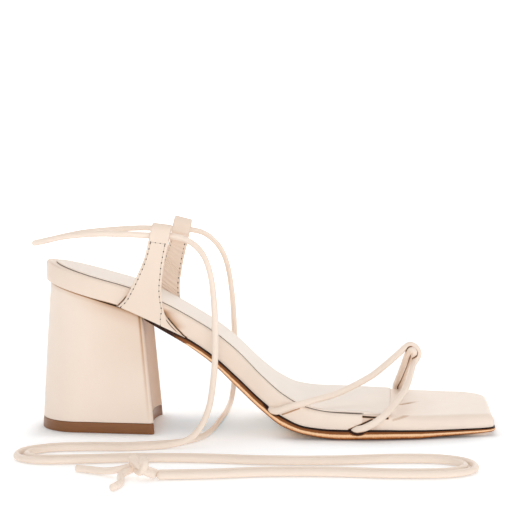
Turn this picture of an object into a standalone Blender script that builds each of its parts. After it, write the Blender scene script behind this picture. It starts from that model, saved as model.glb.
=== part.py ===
"""Square-toed sandal on a flared block heel, with knotted toe cords and a long ankle tie.

A right shoe that stands on z = 0 with its toe towards +X and its lateral side towards -Y.
Every table is in millimetres, in the shoe's own directions: along is measured forwards from the
back of the heel's seat, out is measured from the middle of the heel towards the medial side,
and up is measured from the floor.
"""

import bisect
import math

import bmesh
import bpy
from mathutils import Quaternion, Vector

MM = 0.001

# Driving dimensions
MIDDLE_ALONG = 114.5  # puts the middle of the whole length on x = 0
AXIS_OFFSET = -1.4  # puts the middle of the whole width on y = 0
FIT_GAP = 0.3  # between pieces that are glued or tucked together

# Covered footbed
FOOTBED_BACK = 1.4
TOE_LATERAL = 223.3
TOE_MEDIAL = 229.4
HEEL_ROUND = 26.0
TOE_LATERAL_ROUND = 2.5
TOE_MEDIAL_ROUND = 13.0
FOOTBED_LIP = 0.8  # how far the lower edge is drawn in
FOOTBED_EDGE = 1.8  # radius of the padded upper edge

# Sock glued on the footbed
SOCK_BACK = 4.3
SOCK_MARGIN = 2.2
SOCK_THICK = 0.9
SOCK_LATERAL_END = 171.5
SOCK_MEDIAL_END = 181.0
SOCK_CORNER = 2.5

# Leather outsole, which ends at the front of the heel
OUTSOLE_LEDGE = 0.7  # how far it stands out past the footbed
OUTSOLE_BACK = 53.9
OUTSOLE_BEVEL = 3.2
OUTSOLE_BEVEL_SHARE = 0.37  # of its own thickness

# Block heel and its top lift
HEEL_TOP_BACK = 3.4
HEEL_TOP_FRONT = 52.3
HEEL_TOP_HALF_WIDTH = 25.6
HEEL_BASE_BACK = -1.1
HEEL_BASE_FRONT = 57.6
HEEL_BASE_HALF_WIDTH = 25.2
HEEL_BASE_TAPER = 0.3  # of its width, from the breast to the back
HEEL_BASE_ROUND = 18.0
HEEL_BREAST_HOLLOW = 3.2
HEEL_CORNER = 1.8
LIFT_THICK = 5.3

# Tie loops: strap ears that stand beside the ankle
EAR_THICK = 2.2
EAR_WALL = 1.3
EAR_TOP_OUT = 33.0
EAR_FOOT_RISE = 0.1
TUNNEL_HEIGHT = 9.3
TUNNEL_DEPTH = 6.2
MEDIAL_EAR_FORWARD = (3.7, 6.4)  # at its foot and at its top
MEDIAL_EAR_RISE = 2.3  # at its top
MEDIAL_EAR_TILT = 1.3  # how much lower the front of its top is

# Cords
TOE_CORD_DIAMETER = 3.2
TIE_DIAMETER = 3.0
TIE_PAIR_SPACING = 4.6

LATERAL, MEDIAL = -1, 1

# The last, a row for each section from heel to toe: half widths, then the heights of the
# footbed's underside, of its top and of the outsole's tread at the middle of the section.
LAST_COLUMNS = ("along", "lateral", "medial", "underside", "topside", "tread")
LAST = [
    (0.0, 26.0, 26.0, 75.6, 85.8, 73.6),
    (12.6, 26.6, 26.6, 71.6, 81.6, 69.8),
    (29.7, 27.0, 27.0, 66.6, 76.5, 65.0),
    (46.0, 27.2, 26.6, 61.4, 71.7, 59.9),
    (62.6, 26.6, 25.0, 53.2, 64.3, 50.6),
    (74.4, 26.0, 23.2, 47.2, 57.9, 43.4),
    (86.2, 26.0, 22.3, 39.2, 50.6, 34.7),
    (98.1, 27.4, 23.2, 28.8, 41.2, 23.4),
    (110.0, 30.3, 26.6, 17.9, 29.4, 12.6),
    (120.6, 33.2, 31.2, 10.2, 20.6, 5.0),
    (131.0, 35.6, 35.8, 6.2, 15.2, 1.9),
    (143.0, 37.4, 39.2, 5.2, 13.0, 0.3),
    (150.0, 37.9, 40.4, 5.1, 12.6, 0.0),
    (158.0, 38.0, 41.0, 5.0, 12.2, 0.0),
    (182.0, 36.3, 40.8, 4.6, 11.1, 0.0),
    (196.6, 33.2, 38.8, 4.2, 10.8, 0.6),
    (215.0, 29.2, 35.8, 4.1, 10.6, 1.3),
    (229.0, 26.5, 33.7, 4.9, 10.6, 2.6),
]

# A lateral ear, a row for each fold from its foot to its top: where its rear and front edges are,
# and how far it has left the side of the footbed for its upright top. The foot's own height follows
# the sole.
EAR_COLUMNS = ("rear_along", "rear_up", "front_along", "front_up", "lean")
EAR = [
    (39.8, 62.6, 73.1, 47.8, 0.0),
    (43.9, 66.5, 67.4, 53.7, 0.0),
    (46.6, 71.2, 63.0, 60.5, 0.05),
    (50.5, 79.2, 61.7, 70.3, 0.3),
    (53.8, 87.1, 62.6, 80.0, 0.65),
    (55.6, 94.0, 65.0, 92.4, 1.0),
    (57.8, 103.7, 67.0, 102.6, 1.0),
]
EAR_STITCH_ROW = 5.0  # the row where the folded top is sewn down

# Toe cords, as along, out, up and how much the cord is pressed flat against the footbed's side.
LATERAL_TOE_CORD = [
    (115.3, -33.5, 14.0, 0.62),
    (118.6, -34.4, 15.1, 0.62),
    (122.6, -35.4, 16.0, 0.7),
    (128.0, -36.3, 17.8, 0.9),
    (136.0, -33.0, 19.7, 1.0),
    (144.5, -27.4, 21.0, 1.0),
    (153.0, -22.2, 23.4, 1.0),
    (164.2, -16.0, 28.0, 1.0),
    (172.2, -9.8, 32.7, 1.0),
    (180.0, -4.0, 37.6, 1.0),
    (183.0, -2.4, 39.7, 1.0),
    (185.8, -1.6, 41.0, 1.0),
    (188.6, -1.0, 39.6, 1.0),
    (190.4, -0.8, 36.9, 1.0),
    (190.2, -0.9, 34.3, 1.0),
    (189.0, -2.2, 31.8, 1.0),
    (187.5, -5.0, 29.6, 1.0),
    (186.2, -8.2, 28.0, 1.0),
    (183.8, -15.0, 24.3, 1.0),
    (181.3, -20.6, 21.4, 1.0),
    (176.2, -28.4, 17.6, 1.0),
    (171.6, -34.4, 14.8, 0.95),
    (168.0, -38.4, 12.0, 0.85),
    (164.0, -39.6, 9.9, 0.7),
    (160.6, -39.7, 8.2, 0.62),
    (157.8, -39.7, 7.0, 0.62),
]
MEDIAL_TOE_CORD = [
    (183.9, 42.0, 7.0, 0.62),
    (183.9, 42.0, 10.0, 0.7),
    (183.9, 41.0, 13.0, 0.9),
    (184.2, 36.6, 15.4, 1.0),
    (184.5, 26.0, 20.2, 1.0),
    (184.6, 14.0, 26.0, 1.0),
    (184.6, 6.0, 30.4, 1.0),
    (184.6, 1.5, 33.8, 1.0),
    (185.2, -2.8, 37.2, 1.0),
    (186.6, -4.0, 37.7, 1.0),
    (187.6, -2.8, 36.2, 1.0),
    (188.0, 1.5, 33.6, 1.0),
    (187.9, 6.0, 31.2, 1.0),
    (187.8, 14.0, 27.0, 1.0),
    (187.7, 26.0, 20.8, 1.0),
    (187.6, 36.2, 15.2, 1.0),
    (187.6, 40.6, 12.4, 0.9),
    (187.6, 41.7, 9.6, 0.7),
    (187.6, 41.7, 7.0, 0.62),
]

# The ankle tie, as along, out and up: behind the ankle from one tunnel to the other, then each end
# from its tunnel down to the floor.
BACK_LOOP = [
    (60.3, -29.9, 97.4),
    (54.0, -29.9, 97.6),
    (46.0, -29.4, 98.0),
    (31.0, -27.0, 98.2),
    (14.5, -20.5, 96.8),
    (1.5, -11.0, 94.0),
    (-5.0, 0.0, 92.8),
    (1.5, 11.0, 94.4),
    (14.0, 20.5, 97.2),
    (28.5, 26.5, 98.8),
    (44.0, 29.4, 99.7),
    (56.0, 29.9, 99.5),
    (66.4, 29.9, 99.3),
]
LATERAL_DROP = [
    (60.7, -29.9, 97.4),
    (66.5, -30.0, 97.1),
    (74.0, -31.2, 95.4),
    (81.0, -34.2, 90.0),
    (85.5, -38.0, 80.0),
    (87.6, -41.2, 65.0),
    (88.2, -43.8, 48.0),
    (87.4, -46.2, 31.0),
    (84.6, -49.0, 15.6),
    (78.0, -52.2, 5.4),
    (67.0, -55.0, 2.0),
]
MEDIAL_DROP = [
    (66.8, 29.9, 99.3),
    (72.6, 30.0, 98.8),
    (80.0, 31.2, 96.7),
    (87.0, 34.4, 90.4),
    (91.6, 38.4, 80.5),
    (94.2, 41.8, 65.0),
    (95.4, 44.6, 48.0),
    (95.8, 46.6, 31.0),
    (95.4, 47.2, 15.0),
    (94.0, 43.6, 5.0),
    (92.4, 34.0, 1.9),
    (91.0, 18.0, 1.75),
    (88.6, 0.0, 1.75),
    (86.0, -20.0, 1.75),
    (80.6, -38.0, 1.75),
    (70.0, -48.6, 1.75),
]
# Where the two ends lie side by side on the floor, as the middle line of the pair.
PAIR_ROUTE = [
    (48.0, -56.6),
    (30.0, -56.6),
    (14.0, -58.8),
    (4.6, -65.6),
    (4.2, -74.6),
    (13.0, -80.6),
    (32.0, -80.0),
    (56.0, -77.6),
    (84.0, -78.6),
    (112.0, -82.0),
    (140.0, -82.4),
    (166.0, -79.4),
    (186.0, -80.0),
    (196.4, -86.4),
    (196.6, -96.6),
    (186.0, -103.4),
    (164.0, -104.4),
    (138.0, -101.6),
    (112.0, -101.6),
    (88.0, -104.8),
    (66.0, -106.6),
]
KNOT_AT = (59.0, -106.6, 4.4)
TIE_LIE_UP = 1.75  # height of the cord's middle where it lies on the floor


def smooth(knots, values, at):
    """Height at one place of a smooth curve through the knots that never overshoots them."""
    if at <= knots[0]:
        return values[0]
    if at >= knots[-1]:
        return values[-1]
    steps = [b - a for a, b in zip(knots, knots[1:])]
    rises = [(b - a) / step for a, b, step in zip(values, values[1:], steps)]
    slopes = [rises[0]]
    for k in range(1, len(rises)):
        before, after = rises[k - 1], rises[k]
        slopes.append(2 * before * after / (before + after) if before * after > 0 else 0.0)
    slopes.append(rises[-1])
    k = bisect.bisect_right(knots, at) - 1
    t = (at - knots[k]) / steps[k]
    return (
        values[k] * (1 + 2 * t) * (1 - t) ** 2
        + slopes[k] * steps[k] * t * (1 - t) ** 2
        + values[k + 1] * t * t * (3 - 2 * t)
        + slopes[k + 1] * steps[k] * t * t * (t - 1)
    )


def column(table, columns, name):
    return [row[columns.index(name)] for row in table]


LAST_KNOTS = column(LAST, LAST_COLUMNS, "along")
LAST_VALUES = {name: column(LAST, LAST_COLUMNS, name) for name in LAST_COLUMNS}
EAR_ROWS = [float(k) for k in range(len(EAR))]
EAR_VALUES = {name: column(EAR, EAR_COLUMNS, name) for name in EAR_COLUMNS}


def last(name, along):
    """One column of the last, smoothed along the foot."""
    return smooth(LAST_KNOTS, LAST_VALUES[name], along)


def half_width(side, along):
    return last("lateral" if side == LATERAL else "medial", along)


def mix(a, b, t):
    return a + (b - a) * t


def place(along, out, up):
    """The shoe's own millimetres as a point of the model, in metres."""
    return Vector((along - MIDDLE_ALONG, out + AXIS_OFFSET, up)) * MM


def material(name, colour, roughness):
    """A plain Principled material."""
    made = bpy.data.materials.new(name)
    made.use_nodes = True
    shader = made.node_tree.nodes["Principled BSDF"]
    shader.inputs["Base Color"].default_value = (*colour, 1.0)
    shader.inputs["Roughness"].default_value = roughness
    shader.inputs["Metallic"].default_value = 0.0
    return made


def new_object(name, mesh, finish):
    obj = bpy.data.objects.new(name, mesh)
    bpy.context.scene.collection.objects.link(obj)
    mesh.materials.append(finish)
    return obj


def solid(name, points, faces, finish):
    """One closed mesh from points and faces, welded, with its faces turned outwards."""
    work = bmesh.new()
    verts = [work.verts.new(p) for p in points]
    for face in faces:
        work.faces.new([verts[k] for k in face])
    bmesh.ops.remove_doubles(work, verts=work.verts, dist=1e-6)
    bmesh.ops.dissolve_degenerate(work, edges=work.edges, dist=1e-7)
    bmesh.ops.recalc_face_normals(work, faces=work.faces)
    mesh = bpy.data.meshes.new(name)
    work.to_mesh(mesh)
    work.free()
    mesh.shade_smooth()
    mesh.set_sharp_from_angle(angle=math.radians(35))
    return new_object(name, mesh, finish)


def block(name, point, along_steps, level_steps, cross_steps, finish, pointed_back=False):
    """A cube bent by point(s, level, cross): six grids of quads over its faces, welded together.

    With a pointed back the rear face has no width, so it is left out.
    """
    n_s, n_t, n_v = len(along_steps) - 1, len(level_steps) - 1, len(cross_steps) - 1
    points, faces, known = [], [], {}

    def corner(i, j, k):
        if (i, j, k) not in known:
            known[i, j, k] = len(points)
            points.append(point(along_steps[i], level_steps[j], cross_steps[k]))
        return known[i, j, k]

    for i in range(n_s):
        for k in range(n_v):
            for j in (0, n_t):
                faces.append([corner(i + a, j, k + b) for a, b in ((0, 0), (1, 0), (1, 1), (0, 1))])
        for j in range(n_t):
            for k in (0, n_v):
                faces.append([corner(i + a, j + b, k) for a, b in ((0, 0), (1, 0), (1, 1), (0, 1))])
    for j in range(n_t):
        for k in range(n_v):
            for i in (n_s,) if pointed_back else (0, n_s):
                faces.append([corner(i, j + a, k + b) for a, b in ((0, 0), (1, 0), (1, 1), (0, 1))])
    return solid(name, points, faces, finish)


def round_steps(length, back_round, front_round, middle):
    """Steps from 0 to 1 along a sole, closer together where its ends are round."""
    steps = [0.0]
    if back_round:
        count = 9
        steps = [back_round / length * (1 - math.cos(math.pi / 2 * k / count)) for k in range(count + 1)]
    first, final = steps[-1], 1 - front_round / length
    steps += [mix(first, final, k / middle) for k in range(1, middle + 1)]
    if front_round:
        count = 5
        turn = [math.sin(math.pi / 2 * k / count) for k in range(1, count + 1)]
        steps += [final + front_round / length * t for t in turn]
    return steps


def edge_point(side, s, inset, back, tip, back_round, front_round):
    """Where the edge of a sole lies, as along and out: the last's half width, closed by a round heel
    and by a rounded toe corner, and drawn in by the inset."""
    back, tip = back + inset, tip - inset
    along = mix(back, tip, s)
    out = half_width(side, along) - inset
    if back_round:
        reach = back_round - inset
        short = max(0.0, back + reach - along) / reach
        out *= math.sqrt(max(0.0, 1 - short * short))
    reach = max(front_round - inset, 1.0)
    past = max(0.0, along - (tip - reach))
    out += math.sqrt(max(0.0, reach * reach - past * past)) - reach
    return along, side * out


def sole_point(s, cross, inset, plan):
    """A point across a sole, between its lateral and medial edges, as along and out."""
    lateral = edge_point(LATERAL, s, inset, plan["back"], plan["lateral_tip"], plan["back_round"],
                         plan["lateral_round"])
    medial = edge_point(MEDIAL, s, inset, plan["back"], plan["medial_tip"], plan["back_round"],
                        plan["medial_round"])
    t = (cross + 1) / 2
    return mix(lateral[0], medial[0], t), mix(lateral[1], medial[1], t)


FOOTBED_PLAN = {
    "back": FOOTBED_BACK,
    "lateral_tip": TOE_LATERAL,
    "medial_tip": TOE_MEDIAL,
    "back_round": HEEL_ROUND,
    "lateral_round": TOE_LATERAL_ROUND,
    "medial_round": TOE_MEDIAL_ROUND,
}
SOCK_PLAN = {
    "back": SOCK_BACK,
    "lateral_tip": SOCK_LATERAL_END + SOCK_MARGIN,
    "medial_tip": SOCK_MEDIAL_END + SOCK_MARGIN,
    "back_round": HEEL_ROUND,
    "lateral_round": SOCK_CORNER + SOCK_MARGIN,
    "medial_round": SOCK_CORNER + SOCK_MARGIN,
}
OUTSOLE_PLAN = {
    "back": OUTSOLE_BACK,
    "lateral_tip": TOE_LATERAL,
    "medial_tip": TOE_MEDIAL,
    "back_round": 0.0,
    "lateral_round": TOE_LATERAL_ROUND,
    "medial_round": TOE_MEDIAL_ROUND,
}


def make_footbed(finish):
    """The leather-wrapped, padded insole board: flat underneath, with a round upper edge."""
    edge_turns = (0.0, 22.5, 45.0, 67.5, 90.0)
    levels = [(FOOTBED_LIP, "underside", 0.0), (0.0, "underside", 1.2)]
    for turn in edge_turns:
        inset = FOOTBED_EDGE * (1 - math.cos(math.radians(turn)))
        levels.append((inset, "topside", FOOTBED_EDGE * (math.sin(math.radians(turn)) - 1)))

    def point(s, level, cross):
        inset, surface, rise = levels[level]
        along, out = sole_point(s, cross, inset, FOOTBED_PLAN)
        return place(along, out, last(surface, along) + rise)

    steps = round_steps(TOE_MEDIAL - FOOTBED_BACK, HEEL_ROUND, TOE_MEDIAL_ROUND, 42)
    return block("footbed", point, steps, range(len(levels)), (-1, -0.4, 0.4, 1), finish, True)


def make_sock(finish):
    """The thin leather sock on the footbed, from the heel to the ball."""

    def point(s, level, cross):
        along, out = sole_point(s, cross, SOCK_MARGIN, SOCK_PLAN)
        return place(along, out, last("topside", along) + FIT_GAP + level * SOCK_THICK)

    steps = round_steps(SOCK_MEDIAL_END - SOCK_BACK, HEEL_ROUND, SOCK_CORNER + SOCK_MARGIN, 34)
    return block("insole_sock", point, steps, (0, 1), (-1, -0.4, 0.4, 1), finish, True)


def make_outsole(finish):
    """The leather outsole: flat treads at the ball, a bevelled lower edge and a little toe spring."""
    levels = [
        (OUTSOLE_BEVEL, 0.0),
        (OUTSOLE_BEVEL * 0.4, OUTSOLE_BEVEL_SHARE * 0.27),
        (0.0, OUTSOLE_BEVEL_SHARE),
        (0.0, 1.0),
    ]

    def point(s, level, cross):
        inset, share = levels[level]
        along, out = sole_point(s, cross, inset - OUTSOLE_LEDGE, OUTSOLE_PLAN)
        return place(along, out, mix(last("tread", along), last("underside", along) - FIT_GAP, share))

    steps = round_steps(TOE_MEDIAL - OUTSOLE_BACK, 0.0, TOE_MEDIAL_ROUND, 40)
    return block("outsole", point, steps, range(len(levels)), (-1, -0.5, 0.5, 1), finish)


def heel_outline(s, cross, fall):
    """The heel's D-shaped section at one fall, 0 at its top and 1 at the floor: a round back, sides
    that reach the breast with a small corner, and a hollow breast."""
    back = mix(HEEL_TOP_BACK, HEEL_BASE_BACK, fall)
    front = mix(HEEL_TOP_FRONT, HEEL_BASE_FRONT, fall)
    width = mix(HEEL_TOP_HALF_WIDTH, HEEL_BASE_HALF_WIDTH, fall)
    reach = mix(HEEL_ROUND, HEEL_BASE_ROUND, fall)
    along = mix(back, front, s)
    fill = 1 - HEEL_BASE_TAPER * fall * (1 - s)
    short = max(0.0, back + reach - along) / reach
    out = width * fill * math.sqrt(max(0.0, 1 - short * short))
    past = max(0.0, along - (front - HEEL_CORNER))
    out -= HEEL_CORNER - math.sqrt(max(0.0, HEEL_CORNER ** 2 - past * past))
    along -= HEEL_BREAST_HOLLOW * s ** 4 * (1 - cross ** 4)
    return along, out * cross


def make_heel(finish):
    """The leather-covered block heel, flared towards the floor at its back and its breast."""
    height = last("underside", 0.0)

    def point(s, level, cross):
        along, out = heel_outline(s, cross, level * (1 - LIFT_THICK / height))
        top = last("underside", along) - FIT_GAP
        return place(along, out, mix(top, LIFT_THICK + FIT_GAP, level))

    steps = round_steps(HEEL_BASE_FRONT, HEEL_BASE_ROUND, HEEL_CORNER, 8)
    levels = [k / 5 for k in range(6)]
    return block("heel_block", point, steps, levels, (-1, -0.5, 0, 0.5, 1), finish, True)


def make_top_lift(finish):
    """The brown top lift under the heel."""
    height = last("underside", 0.0)

    def point(s, level, cross):
        along, out = heel_outline(s, cross, 1 - level * LIFT_THICK / height)
        return place(along, out, level * LIFT_THICK)

    steps = round_steps(HEEL_BASE_FRONT, HEEL_BASE_ROUND, HEEL_CORNER, 8)
    return block("top_lift", point, steps, (0.0, 1.0), (-1, -0.5, 0, 0.5, 1), finish, True)


def ear(name, row):
    return smooth(EAR_ROWS, EAR_VALUES[name], row)


def ear_point(side, row, across, depth):
    """A point of an ear: along its row from the rear edge to the front, and so deep behind its outer
    face. The medial ear stands further forward, and keeps its height over the sole."""
    share = row / EAR_ROWS[-1]
    forward = mix(*MEDIAL_EAR_FORWARD, share) if side == MEDIAL else 0.0
    along = mix(ear("rear_along", row), ear("front_along", row), across)
    up = mix(ear("rear_up", row), ear("front_up", row), across)
    if row == 0:
        up = last("underside", along) + EAR_FOOT_RISE
    drop = last("underside", along) - last("underside", along + forward)
    up -= drop * (1 - share)
    if side == MEDIAL:
        up += (MEDIAL_EAR_RISE + MEDIAL_EAR_TILT * (0.5 - across)) * share ** 2
    along += forward
    foot_out = half_width(side, along) + FIT_GAP + EAR_THICK
    out = mix(foot_out, EAR_TOP_OUT, ear("lean", row)) - depth
    return place(along, side * out, up)


def tunnel_ring(inset):
    """The section of the folded top as height over the stitch row and depth: a long round slot,
    drawn in by the inset."""
    radius = TUNNEL_DEPTH / 2 - inset
    turns = [math.pi * k / 6 for k in range(7)]
    upper = [(TUNNEL_HEIGHT - TUNNEL_DEPTH / 2 + radius * math.sin(a),
              TUNNEL_DEPTH / 2 - radius * math.cos(a)) for a in turns]
    return [(inset, inset)] + upper + [(inset, TUNNEL_DEPTH - inset), (inset, max(EAR_THICK, inset + 0.6))]


def make_ear(name, side, finish):
    """A strap ear: a doubled plate whose top is folded inwards and sewn down as a tunnel for the tie."""
    rows = [0.0, 0.5, 1.0, 1.5, 2.0, 3.0, 4.0, EAR_STITCH_ROW]
    columns = [k / 6 for k in range(7)]
    per_mm = (EAR_ROWS[-1] - EAR_STITCH_ROW) / TUNNEL_HEIGHT
    rings = [tunnel_ring(0.0), tunnel_ring(EAR_WALL)]
    n_ring, n_rows = len(rings[0]), len(rows)
    points, faces, starts = [], [], []
    for across in columns:
        starts.append(len(points))
        points += [ear_point(side, row, across, depth) for row in rows[:-1] for depth in (0.0, EAR_THICK)]
        for ring in rings:
            points += [ear_point(side, EAR_STITCH_ROW + h * per_mm, across, d) for h, d in ring]

    def plate(c, row, inner):
        if row == n_rows - 1:
            return outer(c, n_ring - 1 if inner else 0)
        return starts[c] + 2 * row + inner

    def outer(c, k):
        return starts[c] + 2 * (n_rows - 1) + k % n_ring

    def hole(c, k):
        return outer(c, k) + n_ring

    for c in (0, len(columns) - 1):
        for r in range(n_rows - 1):
            faces.append([plate(c, r, 0), plate(c, r + 1, 0), plate(c, r + 1, 1), plate(c, r, 1)])
        for k in range(n_ring):
            faces.append([outer(c, k), outer(c, k + 1), hole(c, k + 1), hole(c, k)])
    for c in range(len(columns) - 1):
        for r in range(n_rows - 1):
            for inner in (0, 1):
                faces.append([plate(c, r, inner), plate(c, r + 1, inner), plate(c + 1, r + 1, inner),
                              plate(c + 1, r, inner)])
        faces.append([plate(c, 0, 0), plate(c, 0, 1), plate(c + 1, 0, 1), plate(c + 1, 0, 0)])
        for k in range(n_ring):
            if k != n_ring - 1:
                faces.append([outer(c, k), outer(c, k + 1), outer(c + 1, k + 1), outer(c + 1, k)])
            faces.append([hole(c, k), hole(c, k + 1), hole(c + 1, k + 1), hole(c + 1, k)])
    return solid(name, points, faces, finish)


def route(knots, step):
    """Points about a step apart on a smooth curve through the knots, which may hold any columns."""
    knots = [Vector(k) for k in knots]
    ends = [knots[0] * 2 - knots[1]] + knots + [knots[-1] * 2 - knots[-2]]
    fine = []
    for a, b, c, d in zip(ends, ends[1:], ends[2:], ends[3:]):
        for k in range(12):
            t = k / 12
            fine.append(0.5 * (2 * b + (c - a) * t + (2 * a - 5 * b + 4 * c - d) * t ** 2
                               + (3 * b - a - 3 * c + d) * t ** 3))
    fine.append(knots[-1])
    lengths = [0.0]
    for a, b in zip(fine, fine[1:]):
        lengths.append(lengths[-1] + (b - a).length)
    count = max(2, round(lengths[-1] / step))
    picked = []
    for k in range(count + 1):
        at = lengths[-1] * k / count
        i = min(bisect.bisect_right(lengths, at), len(fine) - 1)
        t = (at - lengths[i - 1]) / (lengths[i] - lengths[i - 1])
        picked.append(fine[i - 1].lerp(fine[i], t))
    return picked


def sweep(name, knots, diameter, step, sides, finish):
    """A round cord along a route of along, out, up and press: pressed cord is thinner across the
    shoe and wider along its side."""
    line = route(knots, step)
    centres = [Vector(p[:3]) for p in line]
    tangents = [(b - a).normalized() for a, b in zip([centres[0]] + centres, centres[1:] + [centres[-1]])]
    normal = tangents[0].orthogonal().normalized()
    points, faces = [], []
    for k, (centre, tangent) in enumerate(zip(centres, tangents)):
        if k:
            normal = tangents[k - 1].rotation_difference(tangent) @ normal
        press = line[k][3]
        for n in range(sides):
            arm = Quaternion(tangent, 2 * math.pi * n / sides) @ normal * (diameter / 2)
            spread = 1 + 0.5 * (1 - press)
            points.append(place(*(centre + Vector((arm.x * spread, arm.y * press, arm.z * spread)))))
    for k in range(len(centres) - 1):
        for n in range(sides):
            m = (n + 1) % sides
            faces.append([k * sides + n, k * sides + m, (k + 1) * sides + m, (k + 1) * sides + n])
    faces.append(list(range(sides)))
    faces.append([(len(centres) - 1) * sides + n for n in range(sides)])
    return solid(name, points, faces, finish)


def join(obj, others):
    """Unites the others with obj, and keeps them as hidden helpers."""
    for other in others:
        union = obj.modifiers.new("joined_" + other.name, "BOOLEAN")
        union.operation = "UNION"
        union.solver = "EXACT"
        union.object = other
        other.hide_render = True
        other.display_type = "WIRE"


def make_toe_strap(finish):
    """The toe strap: a lateral and a medial bight of cord, hooked through each other over the toes."""
    strap = sweep("toe_strap", LATERAL_TOE_CORD, TOE_CORD_DIAMETER, 3.2, 10, finish)
    bight = sweep("medial_bight", MEDIAL_TOE_CORD, TOE_CORD_DIAMETER, 2.6, 10, finish)
    join(strap, [bight])


def make_cord(name, knots, step, finish):
    """A free cord: a curve with a round bevel on a smooth route."""
    curve = bpy.data.curves.new(name, "CURVE")
    curve.dimensions = "3D"
    curve.bevel_depth = TIE_DIAMETER / 2 * MM
    curve.bevel_resolution = 2
    curve.use_fill_caps = True
    line = route(knots, step)
    spline = curve.splines.new("POLY")
    spline.points.add(len(line) - 1)
    for point, spot in zip(spline.points, line):
        point.co = (*place(*spot), 1.0)
    obj = bpy.data.objects.new(name, curve)
    bpy.context.scene.collection.objects.link(obj)
    curve.materials.append(finish)


def pair_strand(hand):
    """One strand of the pair on the floor: the middle line moved half a spacing to one hand."""
    middle = [Vector(p) for p in PAIR_ROUTE]
    strand = []
    for before, here, after in zip([middle[0]] + middle, middle, middle[1:] + [middle[-1]]):
        ahead = (after - before).normalized()
        aside = Vector((-ahead.y, ahead.x)) * (hand * TIE_PAIR_SPACING / 2)
        strand.append((here.x + aside.x, here.y + aside.y, TIE_LIE_UP))
    return strand


def make_tie_knot(finish):
    """The knot that ends the tie: a wrapped core with an upright bight and two short tails."""
    along, out, up = KNOT_AT
    core = [(along + 6.6, out, up - 1.2, 1.0), (along + 3.0, out, up, 1.0), (along - 1.5, out, up, 1.0),
            (along - 5.0, out + 0.5, up - 0.6, 1.0)]
    knot = sweep("tie_knot", core, 2.2 * TIE_DIAMETER, 2.0, 10, finish)
    wrap = [(along + 1.0, out + 3.6 * math.cos(a), up + 0.6 + 2.9 * math.sin(a), 1.0)
            for a in (math.pi * k / 5 - 0.4 for k in range(9))]
    bight = [(along - 1.0, out + 1.6, up + 1.0, 1.0), (along - 2.0, out + 1.8, up + 5.4, 1.0),
             (along - 2.6, out + 0.2, up + 8.2, 1.0), (along - 2.0, out - 1.6, up + 5.4, 1.0),
             (along - 1.0, out - 1.8, up + 1.0, 1.0)]
    long_tail = [(along - 3.0, out, up, 1.0), (along - 10.0, out + 3.0, up - 1.8, 1.0),
                 (along - 19.0, out + 8.0, TIE_LIE_UP, 1.0), (along - 28.0, out + 11.0, TIE_LIE_UP, 1.0)]
    short_tail = [(along - 1.0, out - 1.0, up - 1.0, 1.0), (along - 2.4, out - 7.0, up - 2.4, 1.0),
                  (along - 4.6, out - 13.0, TIE_LIE_UP, 1.0), (along - 8.6, out - 20.0, TIE_LIE_UP, 1.0)]
    parts = {"knot_wrap": wrap, "knot_bight": bight, "long_tail": long_tail, "short_tail": short_tail}
    join(knot, [sweep(name, line, TIE_DIAMETER, 2.6, 8, finish) for name, line in parts.items()])


def make_ankle_tie(finish):
    """The long tie: one stretch behind the ankle, and two ends that fall to the floor and lie there."""
    make_cord("tie_back_loop", BACK_LOOP, 8.0, finish)
    make_cord("tie_lateral", LATERAL_DROP + pair_strand(1), 9.0, finish)
    make_cord("tie_medial", MEDIAL_DROP + pair_strand(-1), 9.0, finish)
    make_tie_knot(finish)


def main():
    for obj in list(bpy.data.objects):
        bpy.data.objects.remove(obj)
    leather = material("cream_nappa", (0.83, 0.70, 0.59), 0.5)
    lining = material("cream_sock_leather", (0.82, 0.71, 0.62), 0.55)
    sole = material("tan_sole_leather", (0.30, 0.13, 0.05), 0.5)
    rubber = material("brown_lift_rubber", (0.20, 0.085, 0.03), 0.5)
    make_footbed(leather)
    make_sock(lining)
    make_outsole(sole)
    make_heel(leather)
    make_top_lift(rubber)
    make_ear("ear_lateral", LATERAL, leather)
    make_ear("ear_medial", MEDIAL, leather)
    make_toe_strap(leather)
    make_ankle_tie(leather)


main()
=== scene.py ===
"""Dresses the heeled sandal: footbed, sock, outsole, heel, strap ears, toe cords and ankle tie.

Every table is in millimetres, in the shoe's own directions: along is measured forwards from the
back of the heel's seat, out from the middle of the heel towards the medial side, up from the floor.
"""

import math

import bmesh
import bpy
import numpy as np
from bpy.props import FloatProperty, FloatVectorProperty, PointerProperty
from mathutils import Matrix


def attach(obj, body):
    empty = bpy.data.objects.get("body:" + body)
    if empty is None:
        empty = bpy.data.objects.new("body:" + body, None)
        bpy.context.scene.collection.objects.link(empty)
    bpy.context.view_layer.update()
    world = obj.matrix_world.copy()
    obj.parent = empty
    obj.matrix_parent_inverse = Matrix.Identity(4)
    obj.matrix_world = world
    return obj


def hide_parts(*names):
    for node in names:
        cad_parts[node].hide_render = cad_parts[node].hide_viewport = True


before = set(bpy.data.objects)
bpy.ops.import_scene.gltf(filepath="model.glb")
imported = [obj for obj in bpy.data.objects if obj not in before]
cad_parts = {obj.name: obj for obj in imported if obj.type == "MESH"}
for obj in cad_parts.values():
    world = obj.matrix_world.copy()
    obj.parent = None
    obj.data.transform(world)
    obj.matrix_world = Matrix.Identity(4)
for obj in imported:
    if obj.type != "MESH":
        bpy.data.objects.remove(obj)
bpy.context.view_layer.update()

bl_info = {
    "name": "Heeled sandal",
    "version": (1, 0, 0),
    "blender": (4, 5, 0),
    "location": "3D View > Sidebar > Sandal",
    "description": "Dresses a square-toed sandal with a block heel, knotted toe cords and an ankle tie",
    "category": "Add Mesh",
}

MM = 0.001
BODY = "root"

# Points closer than the gap, in metres, are welded, and edges over the angle stay sharp
WELD_GAP = 2e-6
SHARP_ANGLE = math.radians(50)

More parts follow.
